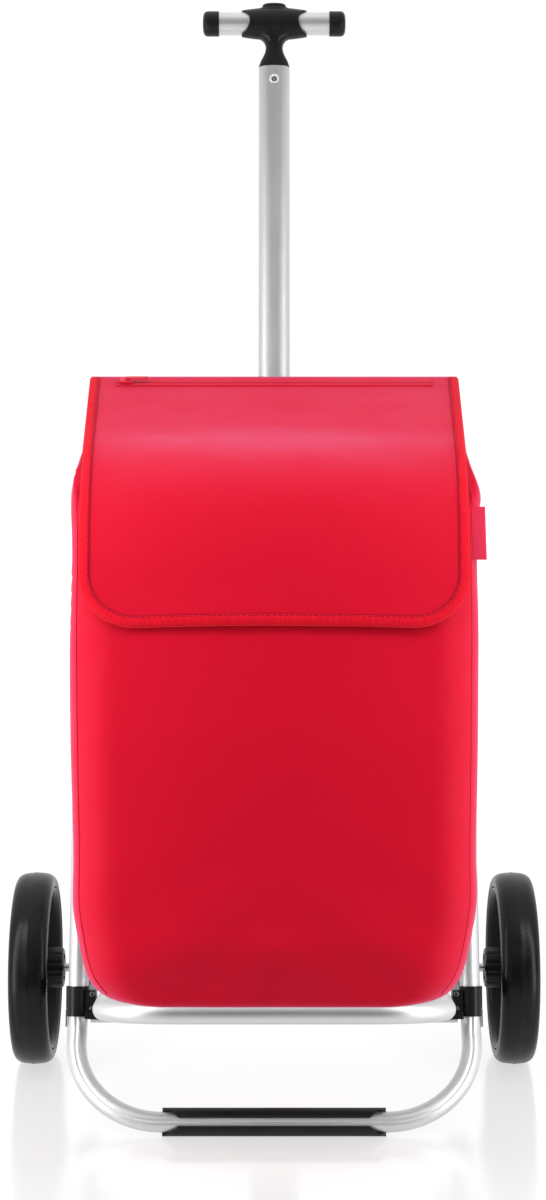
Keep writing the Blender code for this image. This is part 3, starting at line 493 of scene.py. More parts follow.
def cylinder(start, end, radius, sides):
    start, end = Vector(start), Vector(end)

    def draw(shape):
        bmesh.ops.create_cone(
            shape, cap_ends=True, segments=sides, radius1=radius, radius2=radius, depth=(end - start).length)
        turn = Vector((0, 0, 1)).rotation_difference(end - start).to_matrix().to_4x4()
        bmesh.ops.transform(shape, matrix=Matrix.Translation((start + end) / 2) @ turn, verts=shape.verts)

    return reshaped(bpy.data.meshes.new("cylinder"), draw)


def oval_points(half_x, half_y, count=48, power=2.3):
    """Counter-clockwise points of a full oval."""
    points = []
    for index in range(count):
        angle = 2 * math.pi * index / count
        c, s = math.cos(angle), math.sin(angle)
        points.append((half_x * math.copysign(abs(c) ** (2 / power), c),
                       half_y * math.copysign(abs(s) ** (2 / power), s)))
    return points


def stack(name, sections, centre=(0, 0), count=48, power=2.3, wall=0):
    """A solid from ovals given as (half_x, half_y, height), or a tube with that wall."""
    if wall:
        inner = [(half_x - wall, half_y - wall, height) for half_x, half_y, height in reversed(sections)]
        sections = sections + inner + sections[:1]
    rows, uvs, total = [], [], 0.0
    for index, (half_x, half_y, height) in enumerate(sections):
        outline = oval_points(half_x, half_y, count, power)
        rows.append([(x + centre[0], y + centre[1], height) for x, y in outline])
        if index:
            total += max(abs(height - sections[index - 1][2]), abs(half_x - sections[index - 1][0]))
        around = lengths([(x, y, 0) for x, y in outline + outline[:1]])
        uvs.append([(total, length) for length in around])
    mesh = grid_mesh(name, rows, uvs, wrap=True, caps=not wall)
    return shade(reshaped(mesh, welded) if wall else mesh, 35)


SIDES = (("right", 1), ("left", -1))
TUBE = 0.008  # radius of the frame's tubes
SPLIT = 0.270  # height in the lean frame where the bag's lower part ends
BAG_CORNER = 0.036  # radius of the bag's front corners, seen from above
BAG_REAR_CORNER = 0.018


# Camera, light and floor

def stage_and_camera():
    data = bpy.data.cameras.new("camera")
    data.sensor_fit = "VERTICAL"
    data.sensor_height = 36
    data.lens = 36 * 1.9042  # the focal length is 1.9042 times the picture's height
    data.shift_x = -0.0010
    camera = linked("camera", data)
    camera.location = (0, -1.823, 0.666)
    camera.rotation_euler = (math.radians(90 - 8), 0, 0)
    bpy.context.scene.camera = camera

    ground = linked("floor", grid_mesh("floor", [[(x, y, 0) for x in (-6, 6)] for y in (-5, 5)]))
    n = Nodes("pale floor")
    where = n.coordinates("Object")
    rough = n.spread(n.noise(where, 1.5, 2), 0.13, 0.16)
    glow = n.spread(n.axes(where)["Y"], 0.15, 0.64, -0.8, -0.25, interpolation_type="SMOOTHSTEP")
    ground.data.materials.append(n.finish((0.22, 0.22, 0.22), rough, Specular_IOR_Level=0.95,
                                          Emission_Color=(1, 1, 1), Emission_Strength=glow))

    world = bpy.data.worlds.new("studio")
    bpy.context.scene.world = world
    n = Nodes("studio", world)
    axes = n.axes(n.new("ShaderNodeTexCoord").outputs["Generated"])
    towards_back = n.math("MULTIPLY_ADD", axes["Z"], 0.5, axes["Y"])
    light = n.spread(towards_back, 0.06, 1.04, -0.85, 0.45, interpolation_type="SMOOTHSTEP")
    n.plug(n.shader.inputs["Color"], (1, 1, 1))
    n.plug(n.shader.inputs["Strength"], light)

    softbox("left softbox", (-0.50, -0.33, 0.43), (0, -0.12, 0.38), (0.16, 1.1), 3.9, True)
    softbox("right softbox", (0.50, -0.33, 0.43), (0, -0.12, 0.38), (0.16, 1.1), 3.3, True)
    softbox("top softbox", (-0.10, -0.50, 1.25), (0, -0.1, 0.45), (0.6, 0.4), 3.1)
    bpy.context.scene.view_settings.view_transform = "Standard"


def softbox(name, location, target, size, power, mirrored=False):
    light = bpy.data.lights.new(name, "AREA")
    light.shape = "RECTANGLE"
    light.size, light.size_y = size
    light.energy = power
    holder = linked(name, light)
    holder.visible_glossy = mirrored
    holder.visible_camera = False
    holder.location = location
    aim = Vector(target) - Vector(location)
    holder.rotation_euler = aim.to_track_quat("-Z", "Y").to_euler()


# Wheels

def wheels():
    for side, sign in SIDES:
        low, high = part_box(f"tyre_{side}")
        centre = (low + high) / 2
        radius, half = (high.z - low.z) / 2, (high.x - low.x) / 2
        at = Matrix.Translation(centre) @ Matrix.Rotation(sign * math.pi / 2, 4, "Y")
        outer = [(1.0000, 0.00), (0.9988, 0.16), (0.9975, 0.30), (0.9940, 0.46), (0.9890, 0.60),
                 (0.9790, 0.74), (0.9650, 0.85), (0.9480, 0.93), (0.9280, 0.985), (0.9100, 1.00),
                 (0.8950, 0.995), (0.8840, 0.965), (0.8800, 0.975), (0.8740, 1.00), (0.8640, 1.005),
                 (0.8570, 0.985), (0.8530, 0.93), (0.8500, 0.84)]
        profile = [(r * radius, a * half) for r, a in outer]
        seam = 0.00035
        crown = [(radius + seam, 0.0004), (radius + seam, -0.0004)]
        lower = [(r, -a) for r, a in reversed(profile)]
        loop = profile[::-1][:-1] + crown + lower[1:]
        loop.append(loop[0])

        def tread(angle, r, h):
            """A slightly uneven crown."""
            if r > radius * 0.99:
                r += 0.00006 * math.sin(7 * angle) + 0.00004 * math.sin(17 * angle + h * 300)
            return min(r, radius + seam), h

        place(f"tyre_skin_{side}", turned("tyre", loop, 144, tread), TYRE, f"wheel_{side}", "tyre_rubber",
              f"tyre_{side}", at=at)
        wheel_rim(side, at)


def wheel_rim(side, at):
    """Dished plastic rim: a lip painted light grey as a highlight, deep barrel, ribbed web and a fluted hub.
    """
    body = f"wheel_{side}"
    barrel = [
        (0.0676, 0.0128), (0.0676, -0.0128), (0.0672, -0.0142), (0.0664, -0.0147), (0.0654, -0.0145),
        (0.0645, -0.0135), (0.0640, -0.0110), (0.0630, -0.0040), (0.0620, 0.0020), (0.0600, 0.0040),
        (0.0560, 0.0050), (0.0400, 0.0030), (0.0240, 0.0005), (0.0195, -0.0010), (0.0178, -0.0030),
        (0.0174, -0.0060), (0.0172, -0.0205), (0.0166, -0.0228), (0.0152, -0.0238), (0.0120, -0.0240),
        (0.0116, -0.0225), (0.0080, -0.0222), (0.0076, -0.0240), (0.0062, -0.0240), (0.0062, 0.0070),
        (0.0150, 0.0070), (0.0190, 0.0080), (0.0210, 0.0062), (0.0500, 0.0082), (0.0570, 0.0100),
        (0.0620, 0.0104), (0.0640, 0.0118), (0.0650, 0.0136), (0.0664, 0.0140), (0.0672, 0.0138),
        (0.0676, 0.0128)]

    def flutes(angle, r, h):
        """Flutes along the outside of the hub."""
        if 0.0160 < r < 0.0176 and h < -0.004:
            r -= 0.0009 * max(0.0, math.cos(12 * angle)) ** 3
        return r, h

    def rib_section(share):
        low = -0.0050 + 0.0065 * share
        return [(-0.0011, low), (0.0011, low), (0.0014, 0.0060), (-0.0014, 0.0060)]

    meshes = [turned("rim", barrel, 144, flutes)]
    ribs = 10
    for index in range(ribs):
        rib = sweep("rib", [(r, 0, 0) for r in (0.0165, 0.030, 0.045, 0.0605)], rib_section, (0, 1, 0))
        rib.transform(Matrix.Rotation(2 * math.pi * (index + 0.5) / ribs, 4, "Z"))
        meshes.append(rib)
    place(f"rim_disc_{side}", joined("rim", meshes), PLASTIC, body, "black_plastic", f"rim_{side}", at=at)
    # The lip ring is painted light grey: a painted highlight on the black rim.
    lip = [(0.0676, -0.0146), (0.0678, -0.0153), (0.0673, -0.0157), (0.0667, -0.0155), (0.0665, -0.0147)]
    lip.append(lip[0])
    place(f"rim_lip_highlight_{side}", turned("rim edge", lip, 144), RIM_LIP_HIGHLIGHT, body, "black_plastic", at=at)
    cap = [(0, 0.0146), (0.0040, 0.0145), (0.0075, 0.0140), (0.0100, 0.0126), (0.0118, 0.0100),
           (0.0125, 0.0080), (0.0040, 0.0080), (0.0040, 0.0116), (0, 0.0116)]
    place(f"hub_cover_{side}", turned("hub cover", cap, 64), PLASTIC, body, "black_plastic",
          f"axle_cap_{side}", at=at)


# Frame

def tube_route_side(sign):
    low, high = span("side_tube_right")
    top, foot_x = high.z - TUBE, high.x - TUBE
    return [((sign * foot_x, 0, low.z), 0), ((sign * (foot_x - 0.0035), 0, top), 0.065),
            ((sign * low.x, 0, top), 0)]


def tubes():
    for side, sign in SIDES:
        route = rounded_route(tube_route_side(sign))
        place(f"side_tube_skin_{side}", sweep("side tube", route, ring_section(TUBE, 36)), ALUMINIUM, "frame",
              "aluminium_tube", f"side_tube_{side}")

    low, high = span("foot_loop")
    x, drop = high.x - TUBE, low.z + TUBE
    forward = low.y + TUBE
    leg = [((x, 0, high.z), 0), ((x, 0, -0.0215), 0.03), ((x, forward, drop), 0.071)]
    route = leg + [((-p[0], p[1], p[2]), r) for p, r in reversed(leg)]
    points = rounded_route(route)
    groove = ring_section(TUBE, 64, 0.0008, math.radians(90), 0.14)
    place("foot_tube", sweep("foot tube", points, groove, facing=(0, -0.97, 0.11)), ALUMINIUM, "frame",
          "aluminium_tube", "foot_loop")

    low, high = span("platform_loop")
    arm_x, back, front = high.x - TUBE, high.y, low.y + TUBE
    side = [((arm_x, back, 0), 0), ((arm_x - 0.009, front, 0), 0.058)]
    route = rounded_route(side + [((-p[0], p[1], p[2]), r) for p, r in reversed(side)])
    place("support_tube", sweep("support tube", route, ring_section(TUBE, 36)), ALUMINIUM, "platform",
          "aluminium_tube", "platform_loop")

    middle, half = extent("pole_guide")
    inside = extent("handle_pole")[1].x
    guide = stack("guide", [(half.x, half.y, middle.z + up * half.z) for up in (-1, 0, 1)],
                  (0, middle.y), wall=half.x - inside - 0.0003)
    place("guide_tube", guide, ALUMINIUM, "frame", "aluminium_tube", "pole_guide")

    for node in ("cross_rod", "axle"):
        middle, half = extent(node)
        points = [(middle.x + half.x * (i / 6 - 1), middle.y, middle.z) for i in range(13)]
        place(f"{node}_bar", sweep(node, points, ring_section(half.z, 28)), STEEL, "frame",
              "bright_steel", node)


def foot_pad():
    """Rubber channel on the foot bar: open at the front, its ends cut in a rounded notch."""
    half_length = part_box("foot_pad")[1].x
    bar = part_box("foot_loop")[0]
    centre_y, centre_z = bar.y + TUBE, bar.z + TUBE
    inner, outer, mouth = 0.00825, 0.0110, math.radians(180 - 21)
    half_mouth, notch, notch_half, notch_start = math.radians(23), 0.0231, 0.0125, 0.0094
    around, along = 72, 90
    first, sweep_angle = mouth + half_mouth, 2 * (math.pi - half_mouth)
    turns = [(first + sweep_angle * i / around, outer) for i in range(around + 1)]
    turns = [(first, inner + 0.0009), (first, outer - 0.0007)] + turns[1:-1] + [
        (first + sweep_angle, outer - 0.0007), (first + sweep_angle, inner + 0.0009)]
    turns += [(first + sweep_angle * i / around, inner) for i in reversed(range(around + 1))]
    rows, uvs = [], []
    for i in range(along + 1):
        t = math.sin(math.pi / 2 * (2 * i / along - 1))
        row, uv = [], []
        for k, (angle, radius) in enumerate(turns):
            up = radius * math.sin(angle - mouth)
            half = half_length
            if math.cos(angle - mouth) > 0:
                rounded = notch * math.sqrt(max(0.0, 1 - (up / notch_half) ** 2))
                half = min(half_length + notch_start - rounded, half_length)
            rib = 0.00012 if radius == outer and k % 2 and abs(t) < 0.99 else 0
            y = centre_y + (radius - rib) * math.cos(angle)
            z = centre_z + (radius - rib) * math.sin(angle)
            row.append((t * half, y, max(z, 0)))
            uv.append((t * half, k * 0.001))
        rows.append(row)
        uvs.append(uv + uv[:1])
    place("foot_rubber", shade(grid_mesh("foot rubber", rows, uvs, wrap=True, caps=True), 50), PAD, "frame",
          "pad_rubber", "foot_pad", at=Matrix.Identity(4))


def fittings():
    """Moulded and steel CAD pieces that keep their shape and get soft edges and real materials."""
    for look, rounding, names in (
            (PLASTIC, 0.0009, ("bracket_left", "bracket_right", "top_bridge", "pole_socket", "pole_collar",
                               "pole_shoe")),
            (STEEL, 0.0002, ("frame_clip_left", "frame_clip_right")),
            (STEEL, 0, ("platform_pin_left", "platform_pin_right", "latch_bolt", "release_rod")),
            (PLASTIC, 0, ("wheel_bush_left", "wheel_bush_right"))):
        for name in names:
            finish_node(name, look, rounding)
    middle, half = extent("base_board")
    sections = [(half.x - inset, half.y - inset, middle.z - half.z + up) for inset, up in (
        (0.0008, 0.0), (0.0002, 0.0003), (0.0, 0.0008), (0.0, 0.0017), (0.0002, 0.0022), (0.0008, 0.0025))]
    board = stack("board", sections, (0, middle.y), 96, 8)
    tuck(place("bottom_board", board, BOARD, "frame", "board_plastic", "base_board"))
    for side in ("left", "right"):
        for level in ("upper", "lower"):
            cross_screw(f"bracket_screw_{level}_{side}")


def finish_node(name, look, rounding):
    node = NODES[name]
    node.data.materials.clear()
    node.data.materials.append(look)
    shade(node.data, 30)
    if rounding:
        edge = node.modifiers.new("soft edges", "BEVEL")
        edge.width = rounding
        edge.segments = 3
        edge.limit_method = "ANGLE"
        edge.angle_limit = math.radians(35)
        edge.harden_normals = True


def forwards(x, y, z):
    """Where a turned piece stands with its axis towards the front."""
    return LEAN @ Matrix.Translation((x, y, z)) @ Matrix.Rotation(math.pi / 2, 4, "X")


def cross_screw(node):
    """Pan-head screw with a cross recess, facing the front."""
    middle, half = extent(node)
    radius = half.x
    profile = [(0, 0.0014), (radius * 0.5, 0.00135), (radius * 0.8, 0.0010), (radius * 0.96, 0.0005),
               (radius, 0.0001), (radius, 0), (radius * 0.55, 0), (radius * 0.55, -0.0050), (0, -0.0050)]
    body = turned("screw", profile, 40)
    bars = []
    for turn in (0.4, 0.4 + math.pi / 2):
        bar = reshaped(bpy.data.meshes.new("recess"), lambda shape: bmesh.ops.create_cube(shape, size=1))
        bar.transform(Matrix.Diagonal((radius * 1.15, 0.0006, 0.0016, 1)))
        bar.transform(Matrix.Translation((0, 0, 0.0014)) @ Matrix.Rotation(turn, 4, "Z"))
        bars.append(bar)
    cut = shade(boolean(body, bars, "DIFFERENCE"), 30)
    at = forwards(middle.x, middle.y - half.y + 0.0014, middle.z)
    place(f"{node}_head", cut, DARK_STEEL, "frame", "bright_steel", node, at=at)


# Handle

def handle():
    middle, half = extent("handle_pole")
    pole_y = middle.y
    sections = [(half.x, half.y, middle.z + half.z * (i / 12 - 1)) for i in range(25)]
    pole = stack("pole", sections, (0, pole_y), 64, 2.35, wall=0.0012)
    place("pole_tube", pole, ALUMINIUM, "handle", "aluminium_tube", "handle_pole")
    bar, bar_half = extent("grip_bar_right")
    bar_z, bar_radius = bar.z, bar_half.z
    hub(pole_y, middle.z + half.z, bar_z, bar.x - bar_half.x, bar_radius)
    for side, sign in SIDES:
        middle, half = extent(f"grip_bar_{side}")
        points = [(middle.x + half.x * (i / 4 - 1), pole_y, bar_z) for i in range(9)]
        place(f"grip_tube_{side}", sweep("grip tube", points, ring_section(bar_radius, 48)), POLISHED,
              "handle", "aluminium_tube", f"grip_bar_{side}")
        middle, half = extent(f"bar_cap_{side}")
        radius, length = half.z, 2 * half.x
        inside = abs(middle.x) - half.x
        cap = [(0, length), (0.35, length - 0.0001), (0.62, length - 0.0004), (0.82, length - 0.0011),
               (0.94, length - 0.0023), (0.99, length - 0.0037), (1.0, length - 0.0050), (1.0, 0.0008),
               (0.985, 0.0002), (0.965, 0.0), (0.925, 0.0), (0.925, 0.0012)]
        profile = [(r * radius, z) for r, z in cap]
        profile += [(bar_radius + 0.0001, 0.0105), (0, 0.0105)]
        outwards = Matrix.Rotation(sign * math.pi / 2, 4, "Y")
        at = LEAN @ Matrix.Translation((sign * inside, pole_y, bar_z)) @ outwards
        place(f"grip_end_{side}", turned("grip end", profile, 64), HANDLE_PLASTIC, "handle", "black_plastic",
              f"bar_cap_{side}", at=at)
    button(pole_y)
    spring()
    rivet()


def hub(pole_y, pole_top, bar_z, bar_inner, bar_radius):
    """Moulded centre of the handle: winged sleeve, domed top and a waisted neck on the pole."""
    low, high = span("handle_hub")
    half, radius, depth, waist = high.x, 0.0140, 0.0125, 0.0210
    end_radius, end_depth, rod_bore, rivet_bore = 0.0112, 0.0113, 0.0022, 0.0030
    neck = [(0.0115, 0.0065, low.z), (0.0115, 0.0065, pole_top + 0.0002), (0.0133, 0.0083, pole_top + 0.0003),
            (0.0133, 0.0083, pole_top + 0.0012), (0.0130, 0.0083, pole_top + 0.0022),
            (0.0116, 0.0081, 0.7975), (0.0098, 0.0079, 0.8008), (0.0082, 0.0076, 0.8045),
            (0.0074, 0.0075, 0.8080), (0.0075, 0.0076, 0.8105), (0.0084, 0.0079, 0.8135),
            (0.0103, 0.0084, 0.8162), (0.0140, 0.0090, 0.8185), (0.0160, 0.0094, 0.8260)]
    body = stack("neck", neck, (0, pole_y), 64, 2.2)
    rings = []
    for index in range(25):
        share = index / 12 - 1
        tall, deep = radius - (radius - end_radius) * share ** 2, depth - (depth - end_depth) * share ** 2
        rings.append([(share * half, pole_y + deep * math.cos(a), bar_z + tall * math.sin(a))
                      for a in (2 * math.pi * k / 72 for k in range(72))])
    barrel = grid_mesh("barrel", rings, None, wrap=True, caps=True)
    top = [(0.0200, 0.0075, bar_z), (0.0185, 0.0086, bar_z + 0.0100), (0.0168, 0.0083, bar_z + 0.0116),
           (0.0150, 0.0078, bar_z + 0.0126), (0.0125, 0.0068, bar_z + 0.0132)]
    dome = stack("dome", top, (0, pole_y), 64)
    solid = boolean(body, [barrel, dome], "UNION")
    wing = half - waist
    hollow = (end_radius ** 2 + wing ** 2) / (2 * wing)
    tools = []
    for _, sign in SIDES:
        x = sign * (waist + hollow)
        tools.append(cylinder((x, pole_y - 0.03, bar_z), (x, pole_y + 0.03, bar_z), hollow, 96))
        tools.append(cylinder((sign * (bar_inner - 0.0003), pole_y, bar_z), (sign * 0.06, pole_y, bar_z),
                              bar_radius + 0.00025, 64))
    tools.append(stack("well", [(0.0107, 0.0058, bar_z - 0.0070), (0.0107, 0.0058, 0.8700)], (0, pole_y)))
    tools.append(cylinder((0, pole_y, 0.7600), (0, pole_y, 0.8300), rod_bore, 24))
    screw_z = extent("pole_screw")[0].z
    tools.append(cylinder((0, pole_y - 0.02, screw_z), (0, pole_y - 0.004, screw_z), rivet_bore, 24))
    solid = boolean(solid, tools, "DIFFERENCE")
    place("handle_centre", softened(solid, 0.00040, 4), HANDLE_PLASTIC, "handle", "black_plastic",
          "handle_hub")


def button(pole_y):
    middle, half = extent("release_button")
    rounding = [(0, 0, 2 * half.z), (0, 0, 0.0030), (0.0002, 0.0002, 0.0020), (0.0008, 0.0007, 0.0011),
                (0.0020, 0.0017, 0.0004), (0.0040, 0.0032, 0.0001), (0.0075, 0.0046, 0)]
    sections = [(half.x - x, half.y - y, middle.z + half.z - down) for x, y, down in rounding]
    place("push_button", stack("push button", sections, (0, pole_y)), HANDLE_PLASTIC, "button",
          "black_plastic", "release_button")


def spring():
    """Coil under the button."""
    middle, half = extent("button_spring")
    wire, turns, steps = 0.00035, 5, 24
    radius, height, foot = half.x - wire, 2 * half.z, middle.z - half.z
    points = []
    for i in range(turns * steps + 1):
        angle = 2 * math.pi * i / steps
        rise = foot + wire + (height - 2 * wire) * i / (turns * steps)
        points.append((middle.x + radius * math.cos(angle), middle.y + radius * math.sin(angle), rise))
    coil = place("spring_coil", sweep("spring coil", points, ring_section(wire, 10)), STEEL, "handle",
                 "bright_steel", "button_spring")
    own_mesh(coil)


def rivet():
    middle, half = extent("pole_screw")
    radius = half.x
    profile = [(0, -0.0012), (0.0021, -0.0012), (0.0024, -0.0004), (0.0026, 0.0005), (0.0030, 0.0009),
               (0.0036, 0.0009), (0.0041, 0.0006), (radius, 0.0001), (radius, -0.0001),
               (0.0027, -0.0002), (0.0027, -0.0039), (0, -0.0039)]
    # The rivet's metal is paled as a painted highlight.
    at = forwards(0, middle.y - half.y + 0.0008, middle.z)
    place("pole_rivet", turned("rivet", profile, 56), RIVET_PAINTED_HIGHLIGHT, "handle", "bright_steel", "pole_screw", at=at)
    # Painted shade: a black plastic plug sits in the rivet's bore so that the hollow reads dark.
    bore = [(0, -0.0004), (0.0009, -0.0004), (0.0011, 0.0001), (0.0015, 0.0001), (0.0018, -0.0004),
            (0.0022, -0.0004), (0.0022, -0.0011), (0, -0.0011)]
    place("rivet_bore", turned("rivet bore shade plug", bore, 32), HANDLE_PLASTIC, "handle", "black_plastic", at=at)


# Bag

def smoothstep(low, high, value):
    share = min(1.0, max(0.0, (value - low) / (high - low)))
    return share * share * (3 - 2 * share)


class Bag:
    """The bag's measures in the lean frame, from its CAD solid, and its soft outline."""

    def __init__(self):
        low, high = span("bag_body")
        self.floor, self.rear, self.front = low.z, high.y, low.y
        self.half, self.low_half, self.top_half = high.x, high.x - 0.0060, high.x - 0.0127
        self.top = high.z
        self.shoulder_y, self.shoulder_z = self.front + 0.028, self.floor + 0.3814
        self.slope = (self.top - self.shoulder_z) / (self.rear - self.shoulder_y)
        rise = [0, 0.0015, 0.004, 0.0095, 0.0235, 0.050, 0.102, 0.192, 0.273, 0.330, 0.3814, 0.60]
        back = [0.0160, 0.0125, 0.0105, 0.0090, 0.0078, 0.0060, 0.0030, 0.0, 0.0030, 0.0142, 0.0280, 0.070]
        self.heights = np.linspace(0, 0.60, 1201)
        depth = np.interp(self.heights, rise, back)
        window = np.hanning(49) / np.hanning(49).sum()
        soft = np.convolve(np.pad(depth, 24, mode="edge"), window, mode="valid")
        blend = np.clip(self.heights / 0.05, 0, 1)
        self.depths = depth * (1 - blend) + soft * blend

    def half_width(self, z):
        corner_height, corner_width, start, end = 0.095, 0.0385, 0.388, 0.468
        above = z - self.floor
        if above < corner_height:
            drop = 1 - max(0, above) / corner_height
            return self.low_half - corner_width * (1 - (1 - drop ** 2.4) ** (1 / 2.4))
        share = (above - corner_height) / (start - self.floor - corner_height)
        first = smoothstep(-0.2, 1.2, 0)
        widening = (self.half - self.low_half) * (smoothstep(-0.2, 1.2, share) - first) / (1 - first)
        swell = 0.0016 * math.exp(-((z - 0.392) / 0.022) ** 2)
        return self.low_half + swell + widening - (self.half - self.top_half) * smoothstep(start, end, z)

    def front_y(self, z):
        return self.front + 0.0010 + float(np.interp(z - self.floor, self.heights, self.depths))

    def crown(self, x):
        """How far the full bag stands out in the middle of its front."""
        return 0.0125 * max(0.0, 1 - (x / self.half) ** 2)

    def rear_y(self, z):
        return self.rear - 0.010 * (1 - min(1, max(0, z - self.floor) / 0.012)) ** 2

    def mouth(self, y):
        """Height of the mouth's edge at a depth: the slope, cut lower near the front."""
        slope = self.top + self.slope * (y - self.rear)
        chamfer = self.shoulder_z - 0.020 - 1.6 * (self.shoulder_y + 0.012 - y)
        return min(slope, max(chamfer, self.shoulder_z - 0.045))

    def support_top(self, x, y):
        """Height of the support's tubes at a place, or a low value beside them."""
        arm_x, taper, front_y, bend = 0.136, 0.009, -0.175, 0.058
        radius = TUBE + 0.0008
        bend_x, bend_y = arm_x - taper - bend, front_y + bend
        x = abs(x)
        if y > bend_y:
            away = abs(x - (arm_x - taper * min(1.0, max(0.0, y / front_y))))
        elif x < bend_x:
            away = abs(y - front_y)
        else:
            away = abs(math.hypot(x - bend_x, y - bend_y) - bend)
        return math.sqrt(max(0.0, radius ** 2 - away ** 2)) - (1 if away > radius else 0)


BAG = Bag()


def corner_path(half_x, rear, front, count):
    """Evenly spread (x, y, nx, ny, way) round a rounded rectangle, counter-clockwise from above."""
    outline = []
    for sx, y, sy, radius, start in ((1, rear, -1, BAG_REAR_CORNER, 0), (-1, rear, -1, BAG_REAR_CORNER, 90),
                                     (-1, front, 1, BAG_CORNER, 180), (1, front, 1, BAG_CORNER, 270)):
        cx, cy = sx * (half_x - radius), y + sy * radius
        for step in range(13):
            a = math.radians(start + 90 * step / 12)
            outline.append((cx + radius * math.cos(a), cy + radius * math.sin(a), math.cos(a), math.sin(a)))
    outline = outline[13:] + outline[:13]
    ring = outline + outline[:1]
    total = lengths([(p[0], p[1], 0) for p in ring])
    result = []
    for i in range(count):
        where = total[-1] * i / count
        k, part = spot(total, where)
        mixed = [a + (b - a) * part for a, b in zip(ring[k], ring[k + 1])]
        size = math.hypot(mixed[2], mixed[3])
        result.append((mixed[0], mixed[1], mixed[2] / size, mixed[3] / size, where))
    return result


def bag_wrinkle(x, y, z, nx, ny):
    """How far the cloth stands in or out of its even shape."""
    above = z - BAG.floor
    facing = max(0.0, -ny)
    flat = max(abs(nx), abs(ny))
    crown = BAG.crown(x) * facing * smoothstep(-0.010, 0.045, above)
    low = 1 - smoothstep(0.02, 0.15, above)
    diagonal = 0.0008 * low * math.sin(90 * above + 45 * abs(x) + 2.0 * noise.noise((x * 9, y * 9, z * 9)))
    broad = 0.0016 * noise.noise((x * 7 + 3, y * 7, z * 4.5))
    fine = 0.0006 * noise.noise((x * 24, y * 24 + 5, z * 15))
    top = smoothstep(0.36, 0.42, z) * (1 - facing)
    gather = 0.0022 * top * math.sin(150 * y + 60 * z + 3 * noise.noise((x * 5, y * 20, z * 10)))
    pouch = 0.0022 * max(0.0, nx) * math.exp(-((z - 0.395) / 0.020) ** 2)
    return flat * (crown + broad + fine + gather + pouch) + diagonal - 0.0005


def bag_point(x, y, nx, ny, base_z):
    """A point of the bag's wall from its even outline at a height below a straight top."""
    top = BAG.mouth(y) - 0.001
    z = base_z if base_z < SPLIT else SPLIT + (base_z - SPLIT) * (top - SPLIT) / (BAG.top - SPLIT)
    half, front = BAG.half_width(z), BAG.front_y(z)
    out = bag_wrinkle(x, y, z, nx, ny)
    edge = smoothstep(0, 0.02, top - z)
    px = x * half / BAG.half_width(base_z)
    py = y if ny > -0.2 else y + (front - BAG.front_y(base_z))
    px, py = px + nx * out * edge, min(py + ny * out * edge, BAG.rear - 0.0004)
    hang = max(0.0, -ny) ** 2 * (1 - smoothstep(0, 0.010, base_z - BAG.floor))
    z = max(z - 0.0040 * hang, BAG.support_top(px, py)) if base_z < 0.03 else z
    return tuple(FLAP.keep_below(Vector((px, py, z))))


def bag():
    """The sewn wall of the bag with its stiff bottom, on the frame, in a lower and an upper part."""
    around, levels = 240, 150
    rows, uvs = [], []
    reach = BAG.top - BAG.floor
    shares = [(i / levels) ** 1.25 for i in range(levels + 1)]
    for share in shares:
        base_z = BAG.floor + 0.0002 + share * reach
        ring = corner_path(BAG.half_width(base_z), BAG.rear_y(base_z), BAG.front_y(base_z), around)
        row = [bag_point(x, y, nx, ny, base_z) for x, y, nx, ny, _ in ring]
        uv = [(where, p[2]) for (_, _, _, _, where), p in zip(ring, row)]
        uv.append((2 * uv[-1][0] - uv[-2][0], uv[0][1]))
        rows.append(row)
        uvs.append(uv)
    floor_rows, floor_uvs = bag_floor(rows[0])
    cut = next(i for i, share in enumerate(shares) if BAG.floor + share * reach >= SPLIT)
    whole = grid_mesh("whole bag", floor_rows + rows, wrap=True)
    normals = [tuple(n.vector) for n in whole.vertex_normals]
    bpy.data.meshes.remove(whole)
    split = (len(floor_rows) + cut) * around
    bag_part("bag_lower", floor_rows + rows[:cut + 1], floor_uvs + uvs[:cut + 1], normals[:split + around],
             ("bag_body",), True)
    bag_part("bag_upper", rows[cut:], uvs[cut:], normals[split:], (), False)
    bag_seams(BAG.floor + shares[cut] * reach)


def bag_floor(first):
    """Rings that close the bottom: it lies on the support's tubes and sags a little beside them."""
    rows, uvs = [], []
    centre = Vector((0, sum(p[1] for p in first) / len(first), 0))
    steps = 20
    for step in range(steps):
        share = ((step + 0.02) / steps) ** 0.7
        row, uv = [], []
        for x, y, _ in first:
            px, py = centre.x + (x - centre.x) * share, centre.y + (y - centre.y) * share
            low = BAG.floor - 0.0004 * (1 - share) + 0.0003 * noise.noise((px * 30, py * 30, 2))
            row.append((px, py, max(BAG.support_top(px, py), low - 0.0030 * share ** 12)))
            uv.append((px, py))
        rows.append(row)
        uvs.append(uv + uv[:1])
    return rows, uvs


def bag_part(name, rows, uvs, normals, replaced, folds):
    """One part of the bag's wall, its rows moved from the lean frame to the shared one, so that its
    box stays close round it; the lower part has the bottom."""
    rows = [[tuple(LEAN @ Vector(p)) for p in row] for row in rows]
    normals = [tuple(LEAN.to_3x3() @ Vector(n)) for n in normals]
    mesh = shade(grid_mesh(name, rows, uvs, wrap=True), 180)

    def close_bottom(shape):
        shape.verts.ensure_lookup_table()
        bmesh.ops.contextual_create(shape, geom=[shape.verts[i] for i in range(len(rows[0]))])
        bmesh.ops.recalc_face_normals(shape, faces=shape.faces)

    if folds:
        reshaped(mesh, close_bottom)
    mesh.materials.append(FABRIC)
    mesh.materials.append(LINING)
    wall = thick_cloth(mesh, 0.0016, -1, 1)
    if len(wall.vertices) == 2 * len(normals):
        inner = [(-x, -y, -z) for x, y, z in normals]
        wall.normals_split_custom_set_from_vertices(normals + inner)
    piece = place(name, wall, FABRIC, "frame", "bag_fabric", *replaced, at=Matrix())
    if folds:
        tuck(piece)


def tuck(piece):
    """Give a piece of the lower bag a mesh of its own."""
    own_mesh(piece)


